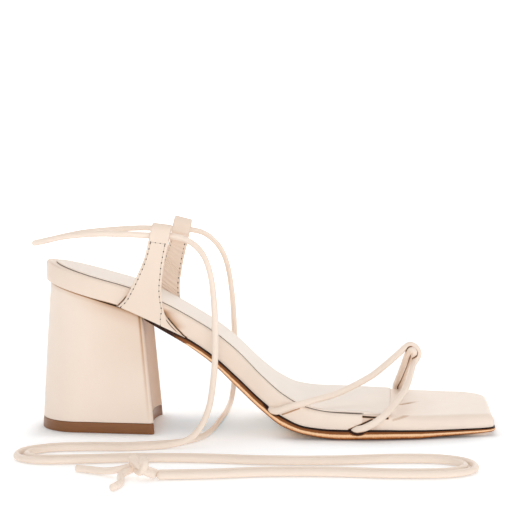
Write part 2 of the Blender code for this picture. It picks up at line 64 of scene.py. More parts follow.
# Sizes shared with the solids
MIDDLE_ALONG = 114.5
AXIS_OFFSET = -1.4
FIT_GAP = 0.3
FOOTBED_BACK = 1.4
TOE_LATERAL = 223.3
TOE_MEDIAL = 229.4
HEEL_ROUND = 26.0
TOE_LATERAL_ROUND = 2.5
TOE_MEDIAL_ROUND = 13.0
FOOTBED_EDGE = 1.8
SOCK_BACK = 4.3
SOCK_MARGIN = 2.2
SOCK_THICK = 0.9
SOCK_LATERAL_END = 171.5
SOCK_MEDIAL_END = 181.0
SOCK_CORNER = 2.5
OUTSOLE_LEDGE = 0.7
OUTSOLE_BACK = 53.9
OUTSOLE_BEVEL = 3.2
OUTSOLE_BEVEL_SHARE = 0.37
HEEL_TOP_BACK = 3.4
HEEL_TOP_FRONT = 52.3
HEEL_TOP_HALF_WIDTH = 25.6
HEEL_BASE_BACK = -1.1
HEEL_BASE_FRONT = 57.6
HEEL_BASE_HALF_WIDTH = 25.2
HEEL_BASE_TAPER = 0.3
HEEL_BASE_ROUND = 18.0
HEEL_BREAST_HOLLOW = 3.2
HEEL_CORNER = 1.8
LIFT_THICK = 5.3
EAR_THICK = 2.2
EAR_WALL = 1.3
EAR_TOP_OUT = 33.0
EAR_FOOT_RISE = 0.1
TUNNEL_HEIGHT = 9.3
TUNNEL_DEPTH = 6.2
MEDIAL_EAR_FORWARD = (3.7, 6.4)
MEDIAL_EAR_RISE = 2.3
MEDIAL_EAR_TILT = 1.3
TIE_PAIR_SPACING = 4.6
TIE_LIE_UP = 1.75
KNOT_AT = (59.0, -106.6, 4.4)

LATERAL, MEDIAL = -1, 1

# Sizes of what only shows, with the shares and powers of some
LIP_IN = 0.25
LIP_RISE = 0.5
TOE_EDGE_EXTRA = 1.9
WRAP_STEP = 0.45
SOCK_EDGE = 0.5
SOCK_CUT_RISES = (0.0, 0.24, 0.3)
SOCK_GAP_SHARE = 0.3
SOCK_CURL = 0.6
SOCK_CORNER_CURL = 0.5
BARE_WALL_UP = 11.0
BEVEL_POWER = 1.6
HEEL_EDGE = 0.7
HEEL_FOOT_EDGE_SHARE = 0.6
BREAST_SEAM_IN = 1.7
BREAST_SEAM_HALF = 0.5
BREAST_SEAM_DEEP = 0.3
BREAST_SEAM_FADE_POWER = 0.7
LIFT_GAP = 0.1
LIFT_EDGE = 0.35
EAR_LAYER_STEP = 2.8
EAR_PILLOW = 0.22
FOLD_GAP = 0.1
WALL_BULGE = 0.2
TUNNEL_STRAIGHT = 6.2
TUNNEL_BACK_LOW = 3.0
TUNNEL_SEAM = (0.4, -0.3, -0.9)
LINING_MARGIN = 0.25
LINING_FOLD = 0.2

# The rolled cords: depth of the groove as a share of the radius, and its half width in radians, how much
# wider a pressed cord gets, sides round them, steps along them, and how long the toe cords' ends narrow
CORD_GROOVE = 0.14
CORD_GROOVE_HALF = 0.3
CORD_SPREAD = 0.4
TIE_SIDES = 16
TIE_STEP = 1.2
KNOT_STEP = 0.7
TOE_CORD_SIDES = 24
TOE_CORD_STEP = 0.6
TOE_CORD_TAPER = 3.0

# Width of the camera's sensor, in millimetres
SENSOR_WIDTH = 36.0

# The studio, in metres: softboxes with their places and widths, where they look, the paper's floor and
# wall, and how far from the sandal the glow of the paper round it turns into that of the paper far off
SOFTBOXES = (
    ("key", (0.05, -1.1, 0.25), 0.5),
    ("side", (0.9, -0.6, 0.25), 0.4),
    ("top", (-0.1, 0.15, 1.3), 1.2),
)
SOFTBOX_AIM = (0.0, 0.0, 0.04)
FLOOR_NEAR = 0.26
FLOOR_FAR = 60.0
WALL_BACK = 4.0
WALL_HIGH = 4.0
WALL_BEND = 1.0
GLOW_NEAR = 0.3
GLOW_FAR = 1.2

# Painted glow of the paper far off, the painted blue added under the arch, and the least share taken off
# there
FAR_GLOW = 0.8
COOL_GLOW = 0.16
ARCH_LEAST_DIM = 0.6

# Where the floor's painted glow is left out under the forefoot and the heel as painted shadow, and how
# far round them it fades
FORE_ON_FLOOR = (130.0, 205.0)
HEEL_ON_FLOOR = (5.0, 52.0)
HEEL_FLOOR_HALF = 20.0
CONTACT_REACH = 16.0

# Specular levels
LEATHER_SHINE = 0.3
SOLE_SHINE = 0.15

# Where along the shoe a form or a tone is: it comes in from the first to the second place, and goes out
# from the third to the fourth. A pair only comes in, from nothing to whole.
WRAP_STEP_SPAN = (157.7, 158.3, 168.0, 178.0)
BARE_WALL_SPAN = (157.8, 158.2, 162.0, 168.0)
SOCK_CURL_SPAN = (138.0, 152.0, 158.0, 166.0)
UNSHADED_EDGE_SPAN = (157.8, 158.4, 169.8, 170.4)
SEAT_GAP_SPAN = (26.0, 41.0, 43.5, 46.0)
ARCH_SPAN = (45.0, 65.0, 120.0, 160.0)
TOE_EDGE_IN = (160.0, 190.0)
SOCK_CORNER_IN = (167.5, 171.0)
RIM_SHADE_IN = (130.0, 90.0)
SOLE_SHADE_IN = (76.0, 66.0)
SEAT_LINE_IN = (24.0, 38.0)
SEAT_SHADE_IN = (10.0, 36.0)
ARCH_LIGHT_IN = (70.0, 105.0)

# Where a tone comes in: out from the middle under the arch, and across a sole at its edges
ARCH_DIM_IN = (36.0, 6.0)
ARCH_COOL_IN = (42.0, 8.0)
EDGE_IN = (0.99, 1.0)
TREAD_RIM_IN = (0.94, 1.0)

# Where a form or a tone comes in across a sole, which is -1 at its lateral and 1 at its medial edge
TOE_EDGE_ACROSS = (0.4, -0.6)
WRAP_STEP_ACROSS = (-0.9, -1.0)
SOCK_EDGE_ACROSS = (-0.8, -1.0)

# Where the heel's painted shade comes in: at levels of its mesh from the top or the foot, at shares of
# its fall from the seat to the floor, and at shares of its length from the back to the breast
SEAT_LINE_LEVELS = (6.0, 3.0)
FOOT_LINE_LEVELS = (3.5, 1.5)
SEAT_SHADE_FALL = (0.16, 0.0)
HEEL_WALL_FALL = (0.75, 0.2)
HEEL_WALL_FORWARD = (0.2, 0.9)
BREAST_FORWARD = 0.9999

# Rows of an ear between which a form or a tone comes in
EAR_FOOT_IN = (0.0, 0.5)
LAYER_STEP_IN = (1.8, 1.1)
LINING_MARGIN_IN = (1.0, 2.0)
LINING_FOLD_IN = (1.6, 2.4)
LINING_SHADE_IN = (1.9, 1.5)
FRONT_STITCH_IN = (2.2, 1.6)

# Rows where the stitches of an ear's edges start, how far its lining stops short of the seam and how far
# the seam's stitches are over it
STITCH_FIRST_ROW = 0.3
LINING_SHORT = 0.1
SEAM_STITCH_RISE = 0.08

# The lining's wrinkles, a sine whose phase sways by a slower sine: turn for each row, sway, slow turn
LINING_WAVE = (31.0, 2.2, 5.3)

# Where shade is painted on a toe cord: past its radius from another strand, below its middle as a share
# of its half height, and before its end. A strand nearer along the cord than the last length is its own.
TOUCH_IN = (0.6, 0.15)
BELOW_IN = (0.6, 0.95)
CORD_END_IN = (8.0, 4.0)
OWN_STRAND = 9.0

# Extra rows of the footbed's mesh, along the shoe, and its columns across: from, to and step or count
DENSE_ROWS = ((38.0, 48.0, 0.4), (60.0, 80.0, 0.35), (118.0, 130.0, 0.35), (150.0, 186.0, 0.4))
FOOTBED_COLUMNS = ((-1.0, -0.84, 10), (-0.84, -0.3, 12), (-0.3, 0.26, 44), (0.26, 1.0, 16))

# Tones of the shade painted on the leather: 0.5 is tan and 1 dark brown. A crease's is for each
# millimetre of its depth, and RIM_AND_EAR_SHADE is an even painted shade that dims the lit faces of the
# rim and the ears.
CREASE_SHADE = 1.25
SEAT_GAP_SHADE = 0.9
BARE_WALL_SHADE = 0.16
RIM_AND_EAR_SHADE = 0.065
SEAT_LINE_SHADE = 0.45
SEAT_SHADE_TONE = 0.14
HEEL_WALL_SHADE = 0.11
HEEL_SEAM_SHADE = 0.5
HEEL_FOOT_SHADE = 0.7
BREAST_SHADE = 0.3
CORD_SHADE = 0.95
SOLE_SHADE_TONE = 0.92
TREAD_RIM_SHADE = 0.12

# Tone of the outsole's edge at shares of its height, from the tread up: the lowest is painted contact
# shade, the top partly stain and partly painted shade of the gap under the footbed. The shares are raised
# to a power, which rises along the shoe: from, to and by how much.
SOLE_SHARES = (0.0, 0.1, 0.22, 0.4, 0.57, 0.63, 0.86, 0.92, 1.0)
SOLE_TONES = (0.12, 0.13, 0.2, 0.3, 0.39, 0.46, 0.82, 0.92, 1.0)
SOLE_POWER = 0.55
SOLE_POWER_RISES = ((68.0, 85.0, 0.25), (105.0, 125.0, 0.2), (140.0, 175.0, 0.4))

# The wall beside an ear's foot, at its rear and front edge: where across, which way is past it, how high
# the painted shade of the gap reaches and how deep the ear's painted shadow beside it is
EAR_EDGES = ((0.0, -1, 3.5, 0.2), (1.0, 1, 9.0, 0.75))

# Rows that these reach up to, the gap's place past the edge and its half width, and the painted shadow's
# start past the edge, its length and the heights over the foot between which it comes in
EAR_GAP_ROWS = 2.3
EAR_GAP_AT = 0.25
EAR_GAP_HALF = 0.6
EAR_SHADOW_FROM = -0.5
EAR_SHADOW_LONG = 2.8
EAR_SHADOW_UP = (2.0, 6.0)

# Across the ear, the front stitches at its rows 0, 1 and 2, where they leave the edge
FRONT_STITCHES = (0.633, 0.736, 0.92)

# Lengths of a stitch, as a share of that from hole to hole, and of a hole, as a share of its width, then
# how much of their height is left and how far their middle is off the leather
STITCH_SHARE = 0.72
HOLE_SHARE = 1.7
STITCH_PROUD = 0.45
HOLE_PROUD = 0.3
STITCH_OFF = 0.09

# The tie's knot: how far its curve runs, its size along, out and up, how far it is sunk, half of what its
# strands are apart out and up, where they come in, and the tails of both
KNOT_RUN = 1.95
KNOT_SIZE = (1.55, 1.5, 1.05)
KNOT_SUNK = 0.9
KNOT_APART = (0.6, 0.5)
KNOT_LEAD = (7.2, 0.1)
KNOT_TAILS = (
    (1, [(-9.0, 1.5, -1.0), (-15.0, 5.0, -2.4), (-22.0, 8.6, -2.7), (-28.0, 11.0, -2.7)]),
    (-1, [(-6.5, -5.0, -1.4), (-6.0, -11.0, -2.6), (-7.0, -16.0, -2.7), (-8.6, -20.0, -2.7)]),
)

# The last, a row for each section from heel to toe.
LAST_COLUMNS = ("along", "lateral", "medial", "underside", "topside", "tread")
LAST = np.array([
    (0.0, 26.0, 26.0, 75.6, 85.8, 73.6),
    (12.6, 26.6, 26.6, 71.6, 81.6, 69.8),
    (29.7, 27.0, 27.0, 66.6, 76.5, 65.0),
    (46.0, 27.2, 26.6, 61.4, 71.7, 59.9),
    (62.6, 26.6, 25.0, 53.2, 64.3, 50.6),
    (74.4, 26.0, 23.2, 47.2, 57.9, 43.4),
    (86.2, 26.0, 22.3, 39.2, 50.6, 34.7),
    (98.1, 27.4, 23.2, 28.8, 41.2, 23.4),
    (110.0, 30.3, 26.6, 17.9, 29.4, 12.6),
    (120.6, 33.2, 31.2, 10.2, 20.6, 5.0),
    (131.0, 35.6, 35.8, 6.2, 15.2, 1.9),
    (143.0, 37.4, 39.2, 5.2, 13.0, 0.3),
    (150.0, 37.9, 40.4, 5.1, 12.6, 0.0),
    (158.0, 38.0, 41.0, 5.0, 12.2, 0.0),
    (182.0, 36.3, 40.8, 4.6, 11.1, 0.0),
    (196.6, 33.2, 38.8, 4.2, 10.8, 0.6),
    (215.0, 29.2, 35.8, 4.1, 10.6, 1.3),
    (229.0, 26.5, 33.7, 4.9, 10.6, 2.6),
])

# The lateral ear, a row for each fold from its foot to its top.
EAR_COLUMNS = ("rear_along", "rear_up", "front_along", "front_up", "lean")
EAR = np.array([
    (39.8, 62.6, 73.1, 47.8, 0.0),
    (43.9, 66.5, 67.4, 53.7, 0.0),
    (46.6, 71.2, 63.0, 60.5, 0.05),
    (50.5, 79.2, 61.7, 70.3, 0.3),
    (53.8, 87.1, 62.6, 80.0, 0.65),
    (55.6, 94.0, 65.0, 92.4, 1.0),
    (57.8, 103.7, 67.0, 102.6, 1.0),
])
EAR_STITCH_ROW = 5.0

# Toe cords, as along, out, up and how much the cord is pressed flat against the footbed's side. Their
# ends are tucked in between the footbed and the outsole.
LATERAL_TOE_CORD = [
    (113.4, -28.6, 14.6, 0.8),
    (114.6, -31.4, 13.6, 0.8),
    (116.4, -33.1, 13.2, 0.75),
    (119.0, -34.2, 13.9, 0.75),
    (123.5, -35.6, 15.8, 0.8),
    (128.4, -36.2, 17.2, 0.9),
    (136.0, -33.2, 18.8, 1.0),
    (144.5, -27.4, 20.0, 1.0),
    (153.0, -22.2, 22.5, 1.0),
    (164.2, -16.0, 27.2, 1.0),
    (172.2, -9.8, 31.9, 1.0),
    (180.0, -4.0, 37.2, 1.0),
    (183.0, -2.4, 39.6, 1.0),
    (185.8, -1.6, 41.0, 1.0),
    (188.6, -1.0, 39.6, 1.0),
    (190.2, -0.8, 36.9, 1.0),
    (189.6, -0.9, 34.3, 1.0),
    (187.6, -2.2, 31.8, 1.0),
    (186.3, -5.0, 29.8, 0.9),
    (185.2, -8.2, 28.0, 0.85),
    (182.8, -15.0, 24.3, 0.85),
    (180.4, -20.6, 21.4, 0.85),
    (175.8, -28.4, 17.6, 0.85),
    (171.6, -34.4, 14.6, 0.85),
    (168.0, -38.0, 12.0, 0.82),
    (164.6, -39.3, 9.6, 0.8),
    (161.6, -39.5, 7.8, 0.78),
    (158.4, -39.3, 6.3, 0.78),
    (155.4, -38.8, 5.5, 0.78),
    (152.6, -37.8, 5.1, 0.78),
]
MEDIAL_TOE_CORD = [
    (184.5, 38.6, 4.6, 0.62),
    (184.5, 41.4, 7.0, 0.62),
    (184.5, 42.0, 10.0, 0.8),
    (184.5, 41.0, 13.0, 1.0),
    (184.5, 36.6, 15.4, 1.0),
    (184.2, 26.0, 20.2, 1.0),
    (184.0, 14.0, 26.0, 1.0),
    (184.0, 6.0, 30.4, 1.0),
    (184.4, 1.5, 34.2, 1.0),
    (185.2, -2.8, 38.0, 1.0),
    (186.6, -4.2, 38.6, 1.0),
    (187.6, -2.8, 37.0, 1.0),
    (187.4, 1.5, 34.2, 1.0),
    (187.1, 6.0, 31.4, 1.0),
    (186.9, 14.0, 27.0, 1.0),
    (186.9, 26.0, 20.8, 1.0),
    (187.0, 36.2, 15.2, 1.0),
    (187.0, 40.6, 12.6, 1.0),
    (187.0, 41.7, 9.6, 0.8),
    (187.0, 41.1, 7.0, 0.62),
    (187.0, 38.4, 4.6, 0.62),
]

# The ankle tie, as along, out and up.
BACK_LOOP = [
    (60.3, -29.9, 97.4),
    (54.0, -29.9, 97.6),
    (46.0, -29.4, 98.0),
    (31.0, -27.0, 98.2),
    (14.5, -20.5, 96.8),
    (1.5, -11.0, 94.0),
    (-5.0, 0.0, 92.8),
    (1.5, 11.0, 94.4),
    (14.0, 20.5, 97.2),
    (28.5, 26.5, 98.8),
    (44.0, 29.4, 99.7),
    (56.0, 29.9, 99.5),
    (66.4, 29.9, 99.3),
]
LATERAL_DROP = [
    (60.7, -29.9, 97.4),
    (66.5, -30.0, 97.1),
    (74.0, -31.2, 95.4),
    (81.0, -34.2, 90.0),
    (85.5, -38.0, 80.0),
    (87.6, -41.2, 65.0),
    (88.2, -43.8, 48.0),
    (87.4, -46.2, 31.0),
    (84.6, -49.0, 15.6),
    (78.0, -52.2, 5.4),
    (67.0, -55.0, 2.0),
]
MEDIAL_DROP = [
    (66.8, 29.9, 99.3),
    (72.6, 30.0, 98.8),
    (80.0, 31.2, 96.7),
    (87.0, 34.4, 90.4),
    (91.6, 38.4, 80.5),
    (94.2, 41.8, 65.0),
    (95.4, 44.6, 48.0),
    (95.8, 46.6, 31.0),
    (95.4, 47.2, 15.0),
    (94.0, 43.6, 5.0),
    (92.4, 34.0, 1.9),
    (91.0, 18.0, 1.75),
    (88.6, 0.0, 1.75),
    (86.0, -20.0, 1.75),
    (80.6, -38.0, 1.75),
    (70.0, -48.6, 1.75),
]
PAIR_ROUTE = [
    (48.0, -56.6),
    (30.0, -56.6),
    (14.0, -58.8),
    (4.6, -65.6),
    (4.2, -74.6),
    (13.0, -80.6),
    (32.0, -80.0),
    (56.0, -77.6),
    (84.0, -78.6),
    (112.0, -82.0),
    (140.0, -82.4),
    (166.0, -79.4),
    (186.0, -80.0),
    (196.4, -86.4),
    (196.6, -96.6),
    (186.0, -103.4),
    (164.0, -104.4),
    (138.0, -101.6),
    (112.0, -101.6),
    (88.0, -104.8),
    (66.0, -106.6),
]

# Creases of the toe cover: from and to, as along and out, then half width and depth. Each starts
# steeply where the cord pulls the leather, and runs out towards its end.
TOE_CREASES = [
    (179.4, -6.4, 192.5, 6.0, 0.9, 0.8),
]

# Shares of a crease's length where it comes in and goes out, and of its half width at its start and end
CREASE_FADE = (0.0, 0.12, 0.1, 1.0)
CREASE_WIDENS = (0.7, 1.5)

# Where the lateral cords' tucked ends press on the outsole's edge, and the half length and the share of
# its height of the shade painted round each, for the gap it goes into
TUCKED_ENDS = (114.0, 155.5)
TUCKED_RIM = (5.0, 0.56)

# Lines of painted shade on the footbed's lateral wall: from and to, as along and up, then half width and
# tone. The first is the gap over the front cord's tucked end, the second the gap at the end of the wrap,
# the third the shadow under the rear cord, the fourth the shade of a soft crease in front of the front
# cord.
WALL_SHADE_LINES = [
    (151.4, 5.2, 162.4, 10.0, 0.5, 1.0),
    (158.2, 11.4, 170.2, 10.5, 0.4, 1.6),
    (120.0, 11.6, 128.0, 15.0, 0.35, 0.6),
    (172.6, 9.7, 181.0, 11.6, 0.45, 0.28),
]


def linear(code):
    """An sRGB hex colour as linear red, green and blue."""
    parts = np.array([int(code[k:k + 2], 16) for k in (1, 3, 5)]) / 255
    return tuple(np.where(parts <= 0.04045, parts / 12.92, ((parts + 0.055) / 1.055) ** 2.4))


# Tan and dark brown of the shade painted into the nappa's creases, seams and gaps, and onto its shaded
# faces
SHADE_TAN = linear("#BC916C")
SHADE_DARK = linear("#1C0E07")


def smooth(knots, values, at):
    """Cubic curve through the knots whose slope there is the harmonic mean of the slopes on both
    sides, or 0 at a turn, so it never overshoots."""
    knots, values = np.asarray(knots, float), np.asarray(values, float)
    at = np.clip(at, knots[0], knots[-1])
    steps = np.diff(knots)
    rises = np.diff(values) / steps
    product = rises[:-1] * rises[1:]
    total = rises[:-1] + rises[1:]
    inner = np.where(product > 0, 2 * product / np.where(total == 0, 1, total), 0)
    slopes = np.concatenate([rises[:1], inner, rises[-1:]])
    k = np.clip(np.searchsorted(knots, at, side="right") - 1, 0, len(steps) - 1)
    t = (at - knots[k]) / steps[k]
    return (
        values[k] * (1 + 2 * t) * (1 - t) ** 2
        + slopes[k] * steps[k] * t * (1 - t) ** 2
        + values[k + 1] * t * t * (3 - 2 * t)
        + slopes[k + 1] * steps[k] * t * t * (t - 1)
    )


def last(name, along):
    """One column of the last at a place along the shoe, on the smooth curve through its rows."""
    return smooth(LAST[:, 0], LAST[:, LAST_COLUMNS.index(name)], along)


def ear(name, row):
    """One column of the ear at a row, on the smooth curve through its rows."""
    return smooth(np.arange(len(EAR)), EAR[:, EAR_COLUMNS.index(name)], row)


def mix(a, b, t):
    """The straight way from a to b: a at t = 0, b at t = 1."""
    return a + (b - a) * t


def ramp(value, start, end):
    """0 before the start, 1 past the end, and a smooth step between them."""
    t = np.clip((value - start) / (end - start), 0, 1)
    return t * t * (3 - 2 * t)


def window(value, rise_from, rise_to, fall_from, fall_to):
    """0 outside a span and 1 inside it, with a smooth step up and a smooth step down."""
    return ramp(value, rise_from, rise_to) * ramp(value, fall_to, fall_from)


def outside(value, low, high):
    """How far a value is past either end of a span."""
    return np.maximum(np.maximum(low - value, value - high), 0)


def place(along, out, up):
    """The shoe's own millimetres as points of the model, in metres."""
    spots = np.broadcast_arrays(along - MIDDLE_ALONG, out + AXIS_OFFSET, up)
    return np.stack(spots, -1) * MM


def unit(vectors):
    """Vectors divided by their lengths."""
    return vectors / np.linalg.norm(vectors, axis=-1, keepdims=True)


def plan_of(back, lateral_tip, medial_tip, back_round, lateral_round, medial_round):
    """What the edge of a sole follows: its round back, and its tip and toe corner on each side."""
    return {"back": back, "back_round": back_round, LATERAL: (lateral_tip, lateral_round),
            MEDIAL: (medial_tip, medial_round)}


FOOTBED_PLAN = plan_of(FOOTBED_BACK, TOE_LATERAL, TOE_MEDIAL, HEEL_ROUND, TOE_LATERAL_ROUND,
                       TOE_MEDIAL_ROUND)
SOCK_PLAN = plan_of(SOCK_BACK, SOCK_LATERAL_END + SOCK_MARGIN, SOCK_MEDIAL_END + SOCK_MARGIN,
                    HEEL_ROUND, SOCK_CORNER + SOCK_MARGIN, SOCK_CORNER + SOCK_MARGIN)
OUTSOLE_PLAN = plan_of(OUTSOLE_BACK, TOE_LATERAL, TOE_MEDIAL, 0.0, TOE_LATERAL_ROUND, TOE_MEDIAL_ROUND)


def edge_line(side, s, inset, plan):
    """The edge of a sole as along and out: the last's half width, times a circle's height at a round
    heel, less a quarter circle at the toe corner, all drawn in by the inset."""
    tip, front_round = plan[side]
    back, tip = plan["back"] + inset, tip - inset
    along = mix(back, tip, s)
    out = last("lateral" if side == LATERAL else "medial", along) - inset
    if plan["back_round"]:
        reach = plan["back_round"] - inset
        short = np.clip((back + reach - along) / reach, 0, 1)
        out = out * np.sqrt(1 - short ** 2)
    reach = np.maximum(front_round - inset, 1.0)
    past = np.clip(along - (tip - reach), 0, reach)
    return along, side * (out + np.sqrt(reach ** 2 - past ** 2) - reach)


def sole_plan(s, cross, inset, plan):
    """Places across a sole, straight from its lateral edge at cross -1 to its medial edge at 1."""
    lateral, medial = edge_line(LATERAL, s, inset, plan), edge_line(MEDIAL, s, inset, plan)
    t = (cross + 1) / 2
    return mix(lateral[0], medial[0], t), mix(lateral[1], medial[1], t)


def end_steps(length, back_round, front_round, counts):
    """Steps from 0 to 1 along a sole: by the cosine round its heel, even, and by the sine at its toe."""
    back, middle, front = counts
    first, final = back_round / length, 1 - front_round / length
    heel = first * (1 - np.cos(np.linspace(0, np.pi / 2, back + 1)))
    body = np.linspace(first, final, middle + 1)[1:]
    toe = final + (1 - final) * np.sin(np.linspace(0, np.pi / 2, front + 1))[1:]
    return np.concatenate([heel[heel < first], [first], body, toe])


def block_sheets(point, s, levels, cross, open_back=False):
    """The faces of a bent block: point(s, level, cross) over its floor, roof, two walls and front, and
    over its back where that has a width."""
    row, column = s[:, None], levels[None, :]
    sheets = [
        point(row, levels[0], cross[None, :]),
        point(row, levels[-1], cross[None, :]),
        point(row, column, cross[0]),
        point(row, column, cross[-1]),
        point(s[-1], levels[:, None], cross[None, :]),
    ]
    return sheets + [point(s[0], levels[:, None], cross[None, :])] if open_back else sheets


def new_piece(name, sheets, finish, nodes=(), values=None):
    """One mesh from sheets of points, each a grid of quads, welded where their borders meet. values
    holds a number for each point, kept as the attribute tone."""
    faces, start = [], 0
    for points in sheets:
        rows, columns = points.shape[:2]
        k = start + np.arange(rows * columns).reshape(rows, columns)
        faces.append(np.stack([k[:-1, :-1], k[1:, :-1], k[1:, 1:], k[:-1, 1:]], -1).reshape(-1, 4))
        start += rows * columns
    mesh = bpy.data.meshes.new(name)
    spots = np.concatenate([points.reshape(-1, 3) for points in sheets])
    mesh.from_pydata(spots, [], np.concatenate(faces))
    if values is not None:
        tone = mesh.attributes.new("tone", "FLOAT", "POINT")
        tone.data.foreach_set("value", np.concatenate([v.ravel() for v in values]).astype(np.float32))
    work = bmesh.new()
    work.from_mesh(mesh)
    bmesh.ops.remove_doubles(work, verts=work.verts, dist=WELD_GAP)
    bmesh.ops.dissolve_degenerate(work, edges=work.edges, dist=1e-7)
    bmesh.ops.recalc_face_normals(work, faces=work.faces)
    work.to_mesh(mesh)
    work.free()
    mesh.shade_smooth()
    mesh.set_sharp_from_angle(angle=SHARP_ANGLE)
    mesh.materials.append(finish)
    obj = bpy.data.objects.new(name, mesh)
    bpy.context.scene.collection.objects.link(obj)
    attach(obj, BODY)
    if nodes:
        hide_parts(*nodes)
    return obj


def new_block(name, node, finish, s, count, cross, point, shade=None, open_back=False):
    """A piece from the faces of a bent block with so many levels, and its tone from the same faces."""
    levels = np.arange(count)
    values = block_sheets(shade, s, levels, cross, open_back) if shade else None
    new_piece(name, block_sheets(point, s, levels, cross, open_back), finish, [node], values)


def add(tree, kind, settings=None, inputs=None):
    """Adds a shader node, sets its own properties, and sets or links its inputs."""
    made = tree.nodes.new(kind)
    for key, value in (settings or {}).items():
        setattr(made, key, value)
    for key, value in (inputs or {}).items():
        if isinstance(value, bpy.types.NodeSocket):
            tree.links.new(value, made.inputs[key])
        else:
            made.inputs[key].default_value = value
    return made


def new_material(name):
    """A material with nothing in it yet, its tree, and the coordinates of the object in metres."""
    made = bpy.data.materials.new(name)
    made.use_nodes = True
    tree = made.node_tree
    tree.nodes.clear()
    return made, tree, add(tree, "ShaderNodeTexCoord").outputs["Object"]


def noise(tree, spot, millimetres, detail=2.0, roughness=0.5):
    """Noise from 0 to 1, with features of so many millimetres."""
    made = add(tree, "ShaderNodeTexNoise", inputs={
        "Vector": spot, "Scale": 1 / (millimetres * MM), "Detail": detail, "Roughness": roughness})
    return made.outputs["Fac"]


def blend(tree, factor, first, second):
    """A colour between two others, each a socket or red, green and blue."""
    pair = [c if isinstance(c, bpy.types.NodeSocket) else (*c, 1) for c in (first, second)]
    made = add(tree, "ShaderNodeMix", {"data_type": "RGBA"}, {"Factor": factor, 6: pair[0], 7: pair[1]})
    return made.outputs[2]


def spread(tree, value, low, high, start=0.0, end=1.0):
    """A value from start to end, spread from low to high and held there."""
    made = add(tree, "ShaderNodeMapRange", inputs={
        "Value": value, "From Min": start, "From Max": end, "To Min": low, "To Max": high})
    return made.outputs["Result"]


def dents(tree, height, strength, millimetres, **under):
    """Normals bumped by a height of so many millimetres."""
    made = add(tree, "ShaderNodeBump", inputs={
        "Height": height, "Strength": strength, "Distance": millimetres * MM, **under})
    return made.outputs["Normal"]


def own_tone(tree):
    """The attribute tone of the piece."""
    return add(tree, "ShaderNodeAttribute", {"attribute_name": "tone"}).outputs["Fac"]


def dimmed(colour, share):
    """A colour with so much of its light."""
    return [c * share for c in colour]


def finish_with(tree, colour, roughness, normal, shine=0.5, **sockets):
    """Ends a tree with one Principled shader."""
    shader = add(tree, "ShaderNodeBsdfPrincipled", inputs={
        "Base Color": colour, "Roughness": roughness, "Normal": normal, "Specular IOR Level": shine,
        **sockets})
    add(tree, "ShaderNodeOutputMaterial", inputs={"Surface": shader.outputs["BSDF"]})


def nappa_leather(name, colour, shade, wrinkle):
    """Smooth dyed calf nappa, rolled and lightly waxed: a satin sheen, pores under a millimetre apart and
    faint soft wrinkles. Painted shade darkens it to tan where the attribute tone is 0.5, and to dark
    brown where it is 1: in creases, seams and gaps, under parts that stand off it, and on faces that get
    less light."""
    made, tree, spot = new_material(name)
    broad = noise(tree, spot, 22, 3.0)
    folds = noise(tree, spot, 5, 4.0, 0.62)
    pores = add(tree, "ShaderNodeTexVoronoi", {"feature": "SMOOTH_F1"},
                {"Vector": spot, "Scale": 1 / (0.75 * MM), "Smoothness": 0.6})
    seam = own_tone(tree)
    dyed = blend(tree, broad, shade, colour)
    # The attribute tone carries the painted shade: first to tan, then to dark brown
    warm = blend(tree, spread(tree, seam, 0.0, 1.0, 0.0, 0.5), dyed, SHADE_TAN)
    whole = blend(tree, spread(tree, seam, 0.0, 1.0, 0.5, 1.0), warm, SHADE_DARK)
    grain = dents(tree, pores.outputs["Distance"], 0.22, 0.12)
    finish_with(tree, whole, spread(tree, folds, 0.40, 0.52, 0.3, 0.7),
                dents(tree, folds, wrinkle, 0.5, Normal=grain), LEATHER_SHINE)
    return made


def sock_leather(colour, shade, edge):
    """Lining leather glued down flat: matt, even, with a raw cut edge painted darker as the shade of the
    gap along it. The edge is where the attribute tone is 1."""
    made, tree, spot = new_material("glued_lining_leather")
    broad = noise(tree, spot, 30, 3.0)
    pores = noise(tree, spot, 0.6)
    whole = blend(tree, own_tone(tree), blend(tree, broad, shade, colour), edge)
    finish_with(tree, whole, spread(tree, broad, 0.5, 0.62), dents(tree, pores, 0.15, 0.1), LEATHER_SHINE)
    return made


def sole_leather(dark, brown, pale):
    """Vegetable-tanned sole leather, cut, burnished and waxed: its edge is stained brown, nearly black at
    the top, partly stain and partly painted shade of the gap under the footbed, and pale along its bevel.
    The tread is pale and fibrous, with a dark border of painted contact shade. The attribute tone runs
    from 0 on the tread to 1 at the upper edge."""
    made, tree, spot = new_material("burnished_sole_leather")
    fibre = noise(tree, spot, 1, 5.0, 0.65)
    blotch = add(tree, "ShaderNodeMath", {"operation": "MULTIPLY_ADD"}, {0: fibre, 1: 0.16, 2: -0.08})
    level = add(tree, "ShaderNodeMath", {"operation": "ADD"}, {0: own_tone(tree), 1: blotch.outputs[0]})
    tone = add(tree, "ShaderNodeValToRGB", inputs={"Fac": level.outputs[0]})
    stops = tone.color_ramp.elements
    stops[0].position, stops[0].color = 0.04, (*pale, 1)
    stops[1].position, stops[1].color = 0.92, (*dark, 1)
    # contact_shade is painted shade where the sole meets the floor; the darkest stops are partly stain
    # and partly painted shade of the gap under the footbed
    contact_shade, tan, deep = (dimmed(brown, share) for share in (0.35, 1.9, 0.7))
    for position, colour in ((0.12, contact_shade), (0.20, tan), (0.30, pale), (0.39, pale), (0.46, brown),
                             (0.82, deep)):
        stops.new(position).color = (*colour, 1)
    finish_with(tree, tone.outputs["Color"], spread(tree, fibre, 0.38, 0.56, 0.3, 0.7),
                dents(tree, fibre, 0.2, 0.2), SOLE_SHINE)
    return made


